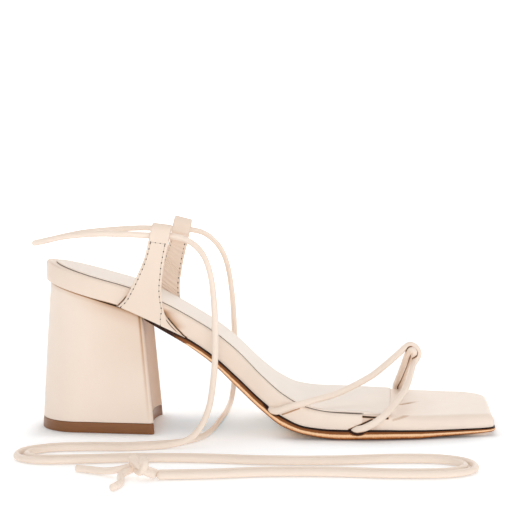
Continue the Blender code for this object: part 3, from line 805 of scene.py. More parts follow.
def lift_rubber(colour, shade):
    """Dense pressed top-lift rubber, sanded round its edge: brown, a little glossy, with fine level
    sanding lines."""
    made, tree, spot = new_material("sanded_lift_rubber")
    level = add(tree, "ShaderNodeMapping", inputs={"Vector": spot, "Scale": (0.12, 0.12, 1.0)})
    lines = noise(tree, level.outputs[0], 0.9, 3.0)
    finish_with(tree, blend(tree, lines, shade, colour), spread(tree, lines, 0.28, 0.46),
                dents(tree, lines, 0.15, 0.15), IOR=1.52)
    return made


def waxed_thread(colour):
    """Twisted polyester thread, waxed: its twist shows as fine ridges."""
    made, tree, spot = new_material("waxed_polyester_thread")
    twist = noise(tree, spot, 0.25)
    finish_with(tree, blend(tree, twist, dimmed(colour, 0.8), colour), 0.5, dents(tree, twist, 0.4, 0.1))
    return made


def needle_hole(colour):
    """Painted shade of a needle hole, on a dark capsule at the leather's face: matt, a little uneven."""
    made, tree, spot = new_material("raw_leather_needle_hole")
    fibre = noise(tree, spot, 0.3)
    finish_with(tree, blend(tree, fibre, dimmed(colour, 0.6), colour), 0.9, dents(tree, fibre, 0.3, 0.1))
    return made


def route(knots, step):
    """Points about a step apart, by length, on the Catmull-Rom curve through the knots."""
    knots = np.asarray(knots, float)
    ends = np.concatenate([2 * knots[:1] - knots[1:2], knots, 2 * knots[-1:] - knots[-2:-1]])
    t = np.linspace(0, 1, 24, endpoint=False)[None, :, None]
    a, b, c, d = (ends[k:len(ends) - 3 + k, None, :] for k in range(4))
    fine = 0.5 * (2 * b + (c - a) * t + (2 * a - 5 * b + 4 * c - d) * t ** 2
                  + (3 * b - a - 3 * c + d) * t ** 3)
    fine = np.concatenate([fine.reshape(-1, knots.shape[1]), knots[-1:]])
    gone = lengths_along(fine[:, :3])
    at = np.linspace(0, gone[-1], max(2, round(gone[-1] / step)) + 1)
    return np.stack([np.interp(at, gone, fine[:, k]) for k in range(fine.shape[1])], -1)


def lengths_along(path):
    """The length from the start of a path to each of its points."""
    return np.concatenate([[0], np.cumsum(np.linalg.norm(np.diff(path, axis=0), axis=1))])


def across_frames(path):
    """Tangents of a path and two directions across it: both come from the one direction, of many
    spread evenly over a sphere, that the path turns furthest from."""
    tangent = unit(np.gradient(path, axis=0))
    k = np.arange(300) + 0.5
    fall, turn = np.arccos(1 - k / 150), np.pi * (1 + 5 ** 0.5) * k
    ways = np.stack([np.cos(turn) * np.sin(fall), np.sin(turn) * np.sin(fall), np.cos(fall)], -1)
    away = ways[np.argmin(np.abs(tangent @ ways.T).max(0))]
    side = unit(np.cross(tangent, away))
    return tangent, side, np.cross(side, tangent)


def cord_sheet(line, diameter, sides, taper=0.01):
    """A rolled leather cord along a line of along, out, up and press: circles across it, with a shallow
    groove along one side where the roll closes, and its ends closed by circles that shrink to a point.
    Where it is pressed, it is thinner across the shoe and wider along it. Its ends narrow by the root
    of the length left, over the taper."""
    path, press = line[:, :3], line[:, 3:4]
    gone = lengths_along(path)
    left = np.minimum(gone, gone[-1] - gone)
    _, side, over = across_frames(path)
    turn = np.linspace(0, 2 * np.pi, sides + 1)
    near = np.minimum(turn, 2 * np.pi - turn)
    radius = diameter / 2 * (1 - CORD_GROOVE * np.exp(-(near / CORD_GROOVE_HALF) ** 2))
    arms = (side[:, None] * np.cos(turn)[None, :, None] + over[:, None] * np.sin(turn)[None, :, None])
    arms = arms * radius[None, :, None] * np.sqrt(np.clip(left / taper, 0.02, 1))[:, None, None]
    wider = 1 + CORD_SPREAD * (1 - press)
    arms = arms * np.stack([wider, press, wider], -1)
    rings = path[:, None] + arms
    shrink = np.array([0.0, 0.55, 0.9])[:, None, None]
    first = path[0] + arms[0] * shrink
    final = path[-1] + arms[-1] * shrink[::-1]
    rings = np.concatenate([first, rings, final])
    return place(rings[..., 0], rings[..., 1], rings[..., 2])


def closed_ends(sheet):
    """Two sheets that close a tube: from its first and last ring to the middle of each."""
    return [np.stack([ring, np.broadcast_to(ring.mean(0), ring.shape)]) for ring in (sheet[0], sheet[-1])]


def plain(path):
    """A path with its press of 1: a round cord."""
    return np.concatenate([path, np.ones((len(path), 1))], 1)


def stitch_sheets(spots, ahead, normal, length, width, proud):
    """Stitches or holes, each a capsule along the row: circles whose size falls off at both ends by a
    sixth power, with so much of their height left over the leather."""
    u = np.sin(np.linspace(-np.pi / 2, np.pi / 2, 9))[None, :, None, None]
    turn = np.linspace(0, 2 * np.pi, 9)[None, None, :, None]
    aside = np.cross(normal, ahead)[:, None, None]
    ahead, normal, spots = ahead[:, None, None], normal[:, None, None], spots[:, None, None]
    size = np.sqrt(np.clip(1 - u ** 6, 0, 1)) * width / 2
    dip = normal * (0.1 - 0.75 * u ** 4) * width / 2 * proud
    return list(spots + ahead * u * length / 2 + dip
                + aside * np.cos(turn) * size + normal * np.sin(turn) * size * proud)


def size_setting(name, description, millimetres):
    """A length that a user may change."""
    return FloatProperty(name=name, description=description, default=millimetres * MM, unit="LENGTH")


def colour_setting(name, description, code):
    """A colour that a user may change."""
    return FloatVectorProperty(name=name, description=description, subtype="COLOR", default=linear(code))


def stage_setting(name, description, value, unit="NONE"):
    """A value of the stage that a user may change."""
    return FloatProperty(name=name, description=description, default=value, unit=unit)


class SandalSizes(bpy.types.PropertyGroup):
    """Sizes of the sandal's trim."""

    toe_cord: size_setting("Toe cord", "Diameter of the cords over the toes", 3.2)
    tie: size_setting("Ankle tie", "Diameter of the ankle tie", 3.0)
    stitch: size_setting("Stitch", "Length of one stitch, from hole to hole", 2.7)
    thread: size_setting("Thread", "Thickness of the sewing thread", 0.42)
    needle: size_setting("Needle", "Width of the needle holes", 0.5)
    stitch_margin: size_setting("Stitch margin", "From the ear's edge to its stitches", 1.3)


class SandalColours(bpy.types.PropertyGroup):
    """Colours of the sandal's leathers and rubber."""

    leather: colour_setting("Leather", "Cream nappa of the upper, footbed and heel", "#F2E2D4")
    leather_shade: colour_setting("Leather shade", "Deeper tone of the cream nappa", "#ECDACA")
    sock: colour_setting("Sock", "Lining leather under the foot", "#EEE1D5")
    # The cut edge's dark colour is painted shade of the gap along the sock's edge
    cut_edge: colour_setting("Cut edge", "Raw edge of the sock", "#564539")
    lining: colour_setting("Ear lining", "Lining leather inside the ears", "#F1DAC7")
    # The sole stain is partly stain and partly painted shade: of the gap under the footbed, round the
    # tucked cord ends and by the heel
    sole_dark: colour_setting("Sole stain", "Stain gathered at the upper edge of the outsole", "#260C02")
    sole_brown: colour_setting("Sole edge", "Stained edge of the outsole", "#8E5428")
    sole_pale: colour_setting("Sole tread", "Pale bevel and tread of the outsole", "#F8CDA2")
    lift: colour_setting("Top lift", "Brown rubber under the heel", "#905A2C")
    thread: colour_setting("Thread", "Sewing thread of the ears", "#DDCAB7")
    # The needle holes' dark colour is painted shade of the holes
    needle_hole: colour_setting("Needle hole", "Raw leather in the needle holes", "#3A2A20")
    floor: colour_setting("Floor", "Studio floor and backdrop", "#FBFCFD")


class SandalStage(bpy.types.PropertyGroup):
    """The camera and the studio light."""

    distance: stage_setting(
        "Camera distance", "From the camera to the middle of the heel, across the shoe", 0.53, "LENGTH")
    height: stage_setting("Camera height", "Height of the camera over the floor", 0.113, "LENGTH")
    along: stage_setting(
        "Camera along", "Where the camera stands along the shoe, from the heel", 0.1056, "LENGTH")
    pitch: stage_setting("Camera pitch", "How far the camera looks down", math.radians(2.71), "ROTATION")
    lens: stage_setting("Lens", "Focal length on a 36 mm sensor", 74.42, "CAMERA")
    key: stage_setting("Key light", "Power of the softbox in front", 3.4, "POWER")
    side: stage_setting("Side light", "Power of the softbox in front of the toe", 1.05, "POWER")
    top: stage_setting("Top light", "Power of the softbox overhead", 4.2, "POWER")
    sky: stage_setting("Sky", "Brightness of the white surroundings", 0.5)
    # The floor glow is painted light, left out as painted shadow round the sandal
    glow: stage_setting("Floor glow", "Light through the white floor, round the sandal", 0.2)


def made_once(name, wrinkle):
    """A cream nappa of that name, made at its first use."""
    colours = bpy.context.scene.sandal_colours
    made = bpy.data.materials.get(name)
    return made or nappa_leather(name, colours.leather, colours.leather_shade, wrinkle)


def cream_leather():
    """The nappa of the covers and the ears."""
    return made_once("cream_calf_nappa", 0.18)


def tie_leather():
    """The same nappa rolled into cords, with tighter wrinkles."""
    return made_once("rolled_nappa_cord", 0.3)


class SANDAL_OT_stage(bpy.types.Operator):
    """Adds the camera, the white floor with its backdrop, and the soft studio light"""

    bl_idname = "sandal.stage"
    bl_label = "Stage"

    def execute(self, context):
        stage = context.scene.sandal_stage
        lens = bpy.data.cameras.new("photo_camera")
        lens.lens = stage.lens
        lens.sensor_width = SENSOR_WIDTH
        lens.clip_start = 0.01
        camera = bpy.data.objects.new("photo_camera", lens)
        camera.location = (stage.along - MIDDLE_ALONG * MM, AXIS_OFFSET * MM - stage.distance,
                           stage.height)
        camera.rotation_euler = (math.pi / 2 - stage.pitch, 0.0, 0.0)
        context.scene.collection.objects.link(camera)
        context.scene.camera = camera

        self.floor(context)
        for name, spot, size in SOFTBOXES:
            self.light(context, name + "_softbox", spot, size, getattr(stage, name))

        world = bpy.data.worlds.new("white_studio")
        world.use_nodes = True
        sky = world.node_tree.nodes["Background"]
        sky.inputs["Color"].default_value = (1, 1, 1, 1)
        sky.inputs["Strength"].default_value = stage.sky
        context.scene.world = world
        context.scene.view_settings.view_transform = "Standard"
        return {"FINISHED"}

    def floor(self, context):
        """A floor that curves up into a wall far behind: a line, a quarter circle and a line, drawn out
        sideways."""
        bend = np.linspace(0, np.pi / 2, 24)
        near = np.linspace(-FLOOR_NEAR, FLOOR_NEAR, 131)
        curve = WALL_BACK - WALL_BEND * (1 - np.sin(bend))
        deep = np.concatenate([[-FLOOR_FAR], near, curve, [WALL_BACK]])
        high = np.concatenate([0 * near, [0.0], WALL_BEND * (1 - np.cos(bend)), [WALL_HIGH]])
        wide = np.concatenate([[-FLOOR_FAR], near, [FLOOR_FAR]])
        points = np.stack(np.broadcast_arrays(wide[None, :], deep[:, None], high[:, None] + 0.0), -1)
        rows, columns = points.shape[:2]
        k = np.arange(rows * columns).reshape(rows, columns)
        faces = np.stack([k[:-1, :-1], k[:-1, 1:], k[1:, 1:], k[1:, :-1]], -1).reshape(-1, 4)
        mesh = bpy.data.meshes.new("studio_floor")
        mesh.from_pydata(points.reshape(-1, 3), [], faces)
        light = mesh.attributes.new("light", "FLOAT_COLOR", "POINT")
        light.data.foreach_set("color", self.glow(context, points).astype(np.float32).ravel())
        mesh.shade_smooth()
        paper, tree, spot = new_material("matt_backdrop_paper")
        away = add(tree, "ShaderNodeVectorMath", {"operation": "LENGTH"}, {0: spot})
        far = add(tree, "ShaderNodeMapRange", {"interpolation_type": "SMOOTHSTEP"}, {
            "Value": away.outputs["Value"], "From Min": GLOW_NEAR, "From Max": GLOW_FAR})
        near = add(tree, "ShaderNodeAttribute", {"attribute_name": "light"}).outputs["Color"]
        # The paper's emission is painted light: white far off, and near the sandal the glow with its
        # painted shadow
        glow = blend(tree, far.outputs["Result"], near, (FAR_GLOW, FAR_GLOW, FAR_GLOW))
        finish_with(tree, (*context.scene.sandal_colours.floor, 1), 0.9,
                    dents(tree, noise(tree, spot, 2), 0.02, 0.1), 0.0,
                    **{"Emission Color": glow, "Emission Strength": 1.0})
        mesh.materials.append(paper)
        obj = bpy.data.objects.new("studio_floor", mesh)
        context.scene.collection.objects.link(obj)

    def glow(self, context, points):
        """Light that the paper gives off, as red, green, blue and 1: painted light, even, but left out as
        painted shadow where the heel and the forefoot stand and less under the arch, by smooth steps of
        the distance. Under the arch it is painted bluer, against the warm light off the leather."""
        along, out = points[..., 0] / MM + MIDDLE_ALONG, points[..., 1] / MM - AXIS_OFFSET
        aside = outside(out, -last("lateral", along), last("medial", along))
        fore = np.hypot(aside, outside(along, *FORE_ON_FLOOR))
        heel = np.hypot(outside(out, -HEEL_FLOOR_HALF, HEEL_FLOOR_HALF), outside(along, *HEEL_ON_FLOOR))
        arch = window(along, *ARCH_SPAN)
        clear = ramp(np.minimum(fore, heel), 0.0, CONTACT_REACH)
        dim = arch * mix(1.0, ARCH_LEAST_DIM, ramp(along, *ARCH_LIGHT_IN))
        dim = dim * ramp(np.abs(out), *ARCH_DIM_IN)
        level = context.scene.sandal_stage.glow * clear * (1 - dim)
        cool = COOL_GLOW * clear * arch * ramp(np.abs(out), *ARCH_COOL_IN)
        return np.stack([level, level + 0.6 * cool, level + cool, 0 * level + 1], -1)

    def light(self, context, name, spot, size, power):
        """A square softbox that looks at the sandal."""
        lamp = bpy.data.lights.new(name, "AREA")
        lamp.size = size
        lamp.energy = power
        obj = bpy.data.objects.new(name, lamp)
        obj.location = spot
        aim = unit(np.array(SOFTBOX_AIM) - np.array(spot))
        obj.rotation_euler = (math.acos(-aim[2]), 0.0, math.atan2(aim[1], aim[0]) - math.pi / 2)
        context.scene.collection.objects.link(obj)


class SANDAL_OT_ties(bpy.types.Operator):
    """Adds the ankle tie: its loop behind the ankle, its two ends on the floor and their knot"""

    bl_idname = "sandal.ties"
    bl_label = "Ankle tie"

    def execute(self, context):
        tie = context.scene.sandal_sizes.tie / MM
        leather = tie_leather()
        knot = self.knot(tie, leather)
        loop = route(BACK_LOOP, TIE_STEP)
        lateral = route(LATERAL_DROP + self.strand(1), TIE_STEP)
        medial = route(MEDIAL_DROP + self.strand(-1), TIE_STEP)
        self.cord("tie_back_loop", loop, tie, leather, "object", [])
        self.cord("tie_lateral", lateral, tie, leather, "knot", [knot])
        self.cord("tie_medial", medial, tie, leather, "knot", [])
        return {"FINISHED"}

    def cord(self, name, path, tie, leather, far_end, pieces):
        """A round cord along a path; it also measures the path's length."""
        sheet = cord_sheet(plain(path), tie, TIE_SIDES)
        obj = new_piece(name + "_cord", [sheet], leather, [name])
        spots = place(path[:, 0], path[:, 1], path[:, 2])
        length = float(lengths_along(spots)[-1])

    def strand(self, hand):
        """One strand of the pair on the floor: its middle line moved half a spacing to one hand."""
        middle = np.array(PAIR_ROUTE)
        ends = np.concatenate([middle[:1], middle, middle[-1:]])
        ahead = unit(ends[2:] - ends[:-2])
        aside = np.stack([-ahead[:, 1], ahead[:, 0]], -1) * hand * TIE_PAIR_SPACING / 2
        spots = middle + aside
        return [(x, y, TIE_LIE_UP) for x, y in spots]

    def knot(self, tie, leather):
        """An overhand knot tied in both strands: the cubic, quartic and quintic curve of an open
        trefoil, entered from the floor, left by two short tails."""
        along, out, up = KNOT_AT
        long, wide, tall = KNOT_SIZE
        ahead, lift = KNOT_LEAD
        t = np.linspace(-KNOT_RUN, KNOT_RUN, 40)
        sheets = []
        for hand, tail in KNOT_TAILS:
            turns = np.stack([
                along - long * (t ** 5 / 5 - 2 * t),
                out + wide * (t ** 3 - 3 * t) + hand * KNOT_APART[0],
                up - KNOT_SUNK - tall * (t ** 4 - 4 * t ** 2) + hand * KNOT_APART[1],
            ], -1)
            lead = [(along + ahead, out + hand * TIE_PAIR_SPACING / 2, TIE_LIE_UP + lift)]
            ends = [(along + x, out + y, up + z) for x, y, z in tail]
            path = route(lead + turns[::3].tolist() + ends, KNOT_STEP)
            sheets.append(cord_sheet(plain(path), tie, TIE_SIDES))
        return new_piece("tie_knot_strands", sheets, leather, ["tie_knot"])


class SANDAL_OT_footbed(bpy.types.Operator):
    """Adds the leather-wrapped footbed and the sock that is glued on it"""

    bl_idname = "sandal.footbed"
    bl_label = "Footbed"

    def execute(self, context):
        colours = context.scene.sandal_colours
        self.footbed()
        self.sock(sock_leather(colours.sock, dimmed(colours.sock, 0.95), colours.cut_edge))
        return {"FINISHED"}

    def footbed(self):
        """Levels of inset, share of the height and rise: a quarter ellipse under the lip, a wall that
        bulges by a sine, and a quarter circle at the upper edge, which grows wider at the toe."""
        turn = np.linspace(0, np.pi / 2, 9)
        climb = np.linspace(0, 1, 28)[1:-1]
        edge = np.concatenate([0 * turn, 0 * climb, 1 - np.cos(turn)])
        bulge = WALL_BULGE * np.sin(np.pi * climb)
        inset = np.concatenate([LIP_IN * (1 - np.sin(turn)), -bulge, 0 * turn])
        share = np.concatenate([0 * turn, climb, 0 * turn + 1])
        rise = np.concatenate([LIP_RISE * (1 - np.cos(turn)), mix(LIP_RISE, 0.0, climb), 0 * turn])
        fall = np.concatenate([0 * turn, climb, 1 - np.sin(turn)])

        def shape(s, level, cross):
            edge_along = mix(FOOTBED_BACK, TOE_LATERAL, s)
            radius = TOE_EDGE_EXTRA * ramp(edge_along, *TOE_EDGE_IN) * ramp(cross, *TOE_EDGE_ACROSS)
            radius = FOOTBED_EDGE + radius
            tuck = WRAP_STEP * window(edge_along, *WRAP_STEP_SPAN) * ramp(cross, *WRAP_STEP_ACROSS)
            along, out = sole_plan(s, cross, inset[level] + tuck + radius * edge[level], FOOTBED_PLAN)
            up = mix(last("underside", along), last("topside", along), share[level])
            return along, out, up + rise[level] - radius * fall[level]

        def point(s, level, cross):
            along, out, up = shape(s, level, cross)
            return place(along, out, up - share[level] ** 4 * self.creases(along, out))

        def shade(s, level, cross):
            along, out, up = shape(s, level, cross)
            # Shade painted into the cover: in the toe's crease, in the gap over the heel's seat, in lines
            # and a bare strip on the lateral wall, beside the ears' feet, and dimming the rim
            crease = CREASE_SHADE * self.creases(along, out) * share[level] ** 4
            gap = window(along, *SEAT_GAP_SPAN) * ramp(level + 0.0, 9.0, 4.0)
            lateral = ramp(-cross, *EDGE_IN) * self.wall_shade(along, up)
            sides = ramp(np.abs(cross), *EDGE_IN) * self.ear_gaps(along, up, np.sign(cross))
            dark = crease + SEAT_GAP_SHADE * gap + lateral + sides
            return np.clip(np.maximum(dark, RIM_AND_EAR_SHADE * ramp(along, *RIM_SHADE_IN)), 0, 1)[..., None]

        steps = end_steps(TOE_MEDIAL - FOOTBED_BACK, HEEL_ROUND, TOE_MEDIAL_ROUND, (24, 120, 10))
        dense = np.concatenate([np.arange(*rows) for rows in DENSE_ROWS])
        steps = np.union1d(steps, (dense - FOOTBED_BACK) / (TOE_LATERAL - FOOTBED_BACK))
        cross = np.unique(np.concatenate([np.linspace(*columns) for columns in FOOTBED_COLUMNS]))
        new_block("footbed_cover", "footbed", cream_leather(), steps, len(inset), cross,
                  point, shade)

    def wall_shade(self, along, up):
        """Shade painted on the lateral wall: dark lines, each a bell curve of the distance from its line,
        and a light shade on the wall that the wrap leaves bare."""
        tone = BARE_WALL_SHADE * window(along, *BARE_WALL_SPAN) * (up < BARE_WALL_UP)
        for from_along, from_up, to_along, to_up, width, dark in WALL_SHADE_LINES:
            run = np.array([to_along - from_along, to_up - from_up])
            ahead = np.clip(((along - from_along) * run[0] + (up - from_up) * run[1]) / (run @ run), 0, 1)
            away = np.hypot(along - from_along - ahead * run[0], up - from_up - ahead * run[1])
            tone = np.maximum(tone, dark * np.exp(-(away / width) ** 4))
        return tone

    def ear_gaps(self, along, up, side):
        """Shade painted on the wall beside the ears' feet: a dark line for the gap along the lower part
        of both edges, by a bell curve, and the ear's soft shadow beside their upper part, which fades by
        an exponential."""
        row = np.linspace(0, EAR_GAP_ROWS, 40)
        tone = 0.0
        for hand in (LATERAL, MEDIAL):
            for across, ahead, tall, deep in EAR_EDGES:
                edge = ear_points(hand, row, across, 0.0) / MM
                line = np.interp(up, edge[:, 2], edge[:, 0] + MIDDLE_ALONG)
                past = (along - line) * ahead
                high = up - edge[0, 2]
                gap = np.exp(-((past - EAR_GAP_AT) / EAR_GAP_HALF) ** 4)
                gap = gap * window(high, -1.0, 0.0, tall, tall + 2.0)
                # Painted shadow of the ear beside its upper part
                stain = deep * np.exp(-np.maximum(past, 0) / EAR_SHADOW_LONG) * (past > EAR_SHADOW_FROM)
                stain = stain * ramp(high, *EAR_SHADOW_UP) * ramp(up, edge[-1, 2], edge[-8, 2])
                tone = tone + (side == hand) * np.maximum(gap, stain)
        return tone

    def creases(self, along, out):
        """Depth of the toe cover's creases: for each, a bell curve of the distance from its line, which
        starts steeply and fades to nothing at its end."""
        depth = 0.0
        for from_along, from_out, to_along, to_out, width, deep in TOE_CREASES:
            run = np.array([to_along - from_along, to_out - from_out])
            long = np.hypot(*run)
            ahead = ((along - from_along) * run[0] + (out - from_out) * run[1]) / long ** 2
            aside = ((along - from_along) * run[1] - (out - from_out) * run[0]) / long
            fade = window(ahead, *CREASE_FADE)
            depth = depth + deep * fade * np.exp(-(aside / mix(*CREASE_WIDENS, ahead) / width) ** 2)
        return depth

    def sock(self, leather):
        """A thin sheet over the footbed's top: a short cut edge, painted dark as the shade of the gap
        along it, then a quarter circle into its face. Its lateral edge curls up a little in front of the
        arch and at its front corner."""
        turn = np.linspace(0, np.pi / 2, 6)
        inset = np.concatenate([[0.0, 0.0, 0.0], SOCK_EDGE * (1 - np.cos(turn))])
        rise = np.concatenate([SOCK_CUT_RISES, SOCK_THICK - SOCK_EDGE + SOCK_EDGE * np.sin(turn)])
        tone = np.concatenate([[1.0, 1.0, 0.0], 0 * turn])

        def point(s, level, cross):
            along, out = sole_plan(s, cross, SOCK_MARGIN + inset[level], SOCK_PLAN)
            curl = SOCK_CURL * window(along, *SOCK_CURL_SPAN)
            curl = curl + SOCK_CORNER_CURL * ramp(along, *SOCK_CORNER_IN)
            curl = curl * ramp(cross, *SOCK_EDGE_ACROSS)
            up = last("topside", along) + FIT_GAP * SOCK_GAP_SHARE + rise[level] + curl * (level > 1)
            return place(along, out, up)

        def shade(s, level, cross):
            along, _ = sole_plan(s, cross, SOCK_MARGIN + inset[level], SOCK_PLAN)
            # The cut edge is painted dark as shade of the gap, except along a stretch of the lateral edge
            # by the front cord
            unshaded = window(along, *UNSHADED_EDGE_SPAN) * ramp(cross, *SOCK_EDGE_ACROSS)
            return (tone[level] * (1 - unshaded))[..., None]

        steps = end_steps(SOCK_MEDIAL_END - SOCK_BACK, HEEL_ROUND, SOCK_CORNER + SOCK_MARGIN,
                          (24, 150, 8))
        cross = np.concatenate([np.linspace(-1, -0.8, 10), np.linspace(-0.8, 1, 52)[1:]])
        new_block("sock", "insole_sock", leather, steps, len(inset), cross, point, shade)


class SANDAL_OT_outsole(bpy.types.Operator):
    """Adds the leather outsole with its stained edge"""

    bl_idname = "sandal.outsole"
    bl_label = "Outsole"

    def execute(self, context):
        colours = context.scene.sandal_colours
        self.outsole(sole_leather(colours.sole_dark, colours.sole_brown, colours.sole_pale))
        return {"FINISHED"}

    def outsole(self, leather):
        """Levels of inset and share of the thickness: a bevel that curves from the tread into an upright
        edge by powers of its run, then the edge. Its darker bands reach further down at the arch, by a
        power of the share. Shade is painted darker round the lateral cords' tucked ends and over the edge
        and bevel by the heel."""
        run = np.linspace(0, 1, 9)
        climb = np.linspace(0, 1, 14)[1:]
        inset = np.concatenate([OUTSOLE_BEVEL * (1 - run) ** BEVEL_POWER, 0 * climb]) - OUTSOLE_LEDGE
        share = np.concatenate([OUTSOLE_BEVEL_SHARE * run ** 2, mix(OUTSOLE_BEVEL_SHARE, 1.0, climb)])

        def point(s, level, cross):
            along, out = sole_plan(s, cross, inset[level], OUTSOLE_PLAN)
            up = mix(last("tread", along), last("underside", along) - FIT_GAP, share[level])
            return place(along, out, up)

        def shade(s, level, cross):
            along, out = sole_plan(s, cross, inset[level], OUTSOLE_PLAN)
            high = share[level] + 0.0 * out
            # Painted shade: contact shade at the tread's border, and the near-black round the tucked cord
            # ends and by the heel
            rim = ramp(np.abs(cross), *TREAD_RIM_IN) * TREAD_RIM_SHADE
            power = SOLE_POWER + sum(by * ramp(along, start, end) for start, end, by in SOLE_POWER_RISES)
            tone = np.where(high > 0.0, np.interp(high ** power, SOLE_SHARES, SOLE_TONES), rim)
            shaded = ramp(along, *SOLE_SHADE_IN) * (high > 0.02)
            tone = mix(tone, np.maximum(tone, SOLE_SHADE_TONE), shaded)
            long, tall = TUCKED_RIM
            apart = [np.hypot((along - end) / long, (1.0 - high) / tall) for end in TUCKED_ENDS]
            tucked = ramp(np.minimum(*apart), 1.0, 0.75) * ramp(-cross, *EDGE_IN)
            return np.maximum(tone, SOLE_SHADE_TONE * tucked)[..., None]

        steps = end_steps(TOE_MEDIAL - OUTSOLE_BACK, 0.0, TOE_MEDIAL_ROUND, (1, 200, 10))
        cross = np.linspace(-1, 1, 49)
        new_block("leather_outsole", "outsole", leather, steps, len(inset), cross, point,
                  shade, open_back=True)


def heel_plan(s, cross, fall, inset):
    """The heel's D-shaped section at one fall, 0 at its top and 1 at the floor, drawn in by the inset:
    a round back, sides that reach the breast with a small corner, and a breast hollowed by a quartic."""
    back = mix(HEEL_TOP_BACK, HEEL_BASE_BACK, fall) + inset
    front = mix(HEEL_TOP_FRONT, HEEL_BASE_FRONT, fall) - inset
    width = mix(HEEL_TOP_HALF_WIDTH, HEEL_BASE_HALF_WIDTH, fall) - inset
    reach = mix(HEEL_ROUND, HEEL_BASE_ROUND, fall) - inset
    along = mix(back, front, s)
    fill = 1 - HEEL_BASE_TAPER * fall * (1 - s)
    short = np.clip((back + reach - along) / reach, 0, 1)
    out = width * fill * np.sqrt(1 - short ** 2)
    past = np.clip(along - (front - HEEL_CORNER), 0, HEEL_CORNER)
    out = out - HEEL_CORNER + np.sqrt(HEEL_CORNER ** 2 - past ** 2)
    return along - HEEL_BREAST_HOLLOW * s ** 4 * (1 - cross ** 4), out * cross


class SANDAL_OT_heel(bpy.types.Operator):
    """Adds the covered block heel and its top lift"""

    bl_idname = "sandal.heel"
    bl_label = "Heel"

    def execute(self, context):
        colours = context.scene.sandal_colours
        height = float(last("underside", 0.0))
        steps = end_steps(HEEL_BASE_FRONT, HEEL_BASE_ROUND, HEEL_CORNER, (28, 60, 8))
        cross = np.linspace(-1, 1, 61)
        self.block(steps, cross, height)
        self.lift(steps, cross, height, lift_rubber(colours.lift, dimmed(colours.lift, 0.6)))
        return {"FINISHED"}

    def block(self, steps, cross, height):
        """Levels from the seat to the lift, with the leather turned in by a quarter circle at both. A
        seam sinks in by a bell curve beside each breast corner, and runs out towards the floor. Shade is
        painted on the leather at the seat, along the seam, at the lift, towards the breast and over the
        breast, by smooth steps."""
        turn = np.linspace(0, np.pi / 2, 6)
        edge, foot_edge = HEEL_EDGE, HEEL_EDGE * HEEL_FOOT_EDGE_SHARE
        inset = np.concatenate([edge * (1 - np.sin(turn)), np.zeros(30), foot_edge * (1 - np.cos(turn))])
        fall = np.concatenate([0 * turn, np.linspace(0, 1, 32)[1:-1], 0 * turn + 1])
        drop = np.concatenate([-edge * (1 - np.cos(turn)), mix(-edge, foot_edge, fall[6:-6]),
                               foot_edge * (1 - np.sin(turn))])

        def seam(s, level):
            ahead = (1 - s) * (HEEL_TOP_FRONT - HEEL_TOP_BACK)
            bell = np.exp(-((ahead - BREAST_SEAM_IN) / BREAST_SEAM_HALF) ** 2)
            return bell * (1 - fall[level]) ** BREAST_SEAM_FADE_POWER

        def point(s, level, cross):
            along, out = heel_plan(s, cross, fall[level] * (1 - LIFT_THICK / height), inset[level])
            top = last("underside", along) - FIT_GAP
            out = out - cross * BREAST_SEAM_DEEP * seam(s, level)
            return place(along, out, mix(top, LIFT_THICK + LIFT_GAP, fall[level]) + drop[level])

        def shade(s, level, cross):
            along, _ = heel_plan(s, cross, fall[level], inset[level])
            # Painted shade: a dark line and a soft shadow under the seat, a dark line at the lift, the
            # seam's shade, the upper wall darkening towards the breast, and the breast in shade
            line = mix(SEAT_LINE_SHADE, 1.0, ramp(along, *SEAT_LINE_IN))
            under = ramp(fall[level], *SEAT_SHADE_FALL) * ramp(along, *SEAT_SHADE_IN)
            top = line * ramp(level, *SEAT_LINE_LEVELS) + SEAT_SHADE_TONE * under
            foot = HEEL_FOOT_SHADE * ramp(len(inset) - level, *FOOT_LINE_LEVELS)
            wall = HEEL_WALL_SHADE * ramp(s, *HEEL_WALL_FORWARD) * ramp(fall[level], *HEEL_WALL_FALL)
            wall = np.where(s + 0 * level > BREAST_FORWARD, BREAST_SHADE, wall)
            tone = top + foot + HEEL_SEAM_SHADE * seam(s, level) + wall
            return np.clip(tone + 0 * cross, 0, 1)[..., None]

        new_block("heel_cover", "heel_block", cream_leather(), steps, len(inset), cross,
                  point, shade)

    def lift(self, steps, cross, height, rubber):
        """A slab whose upper and lower edges are broken by a small quarter circle."""
        turn = np.linspace(0, np.pi / 2, 5)
        rise, run = LIFT_EDGE * np.sin(turn), LIFT_EDGE * (1 - np.cos(turn))
        inset = np.concatenate([LIFT_EDGE * (1 - np.sin(turn)), run])
        up = np.concatenate([run, LIFT_THICK - LIFT_EDGE + rise])

        def point(s, level, cross):
            along, out = heel_plan(s, cross, 1 - up[level] / height, inset[level])
            return place(along, out, up[level])

        new_block("heel_top_lift", "top_lift", rubber, steps, len(inset), cross, point)


def ear_points(side, row, across, depth):
    """Points of an ear: across from its rear edge to its front, and so deep behind its outer face. Its
    foot follows the sole. The medial ear stands further forward, and keeps its height over the sole."""
    share = row / (len(EAR) - 1)
    along = mix(ear("rear_along", row), ear("front_along", row), across)
    foot_up = last("underside", along) + EAR_FOOT_RISE
    up = mix(foot_up, mix(ear("rear_up", row), ear("front_up", row), across), ramp(row, *EAR_FOOT_IN))
    forward = mix(*MEDIAL_EAR_FORWARD, share) if side == MEDIAL else 0.0
    drop = last("underside", along) - last("underside", along + forward)
    up = up - drop * (1 - share)
    if side == MEDIAL:
        up = up + (MEDIAL_EAR_RISE + MEDIAL_EAR_TILT * (0.5 - across)) * share ** 2
    along = along + forward
    foot_out = last("lateral" if side == LATERAL else "medial", along) + FIT_GAP + EAR_THICK
    return place(along, side * (mix(foot_out, EAR_TOP_OUT, ear("lean", row)) - depth), up)


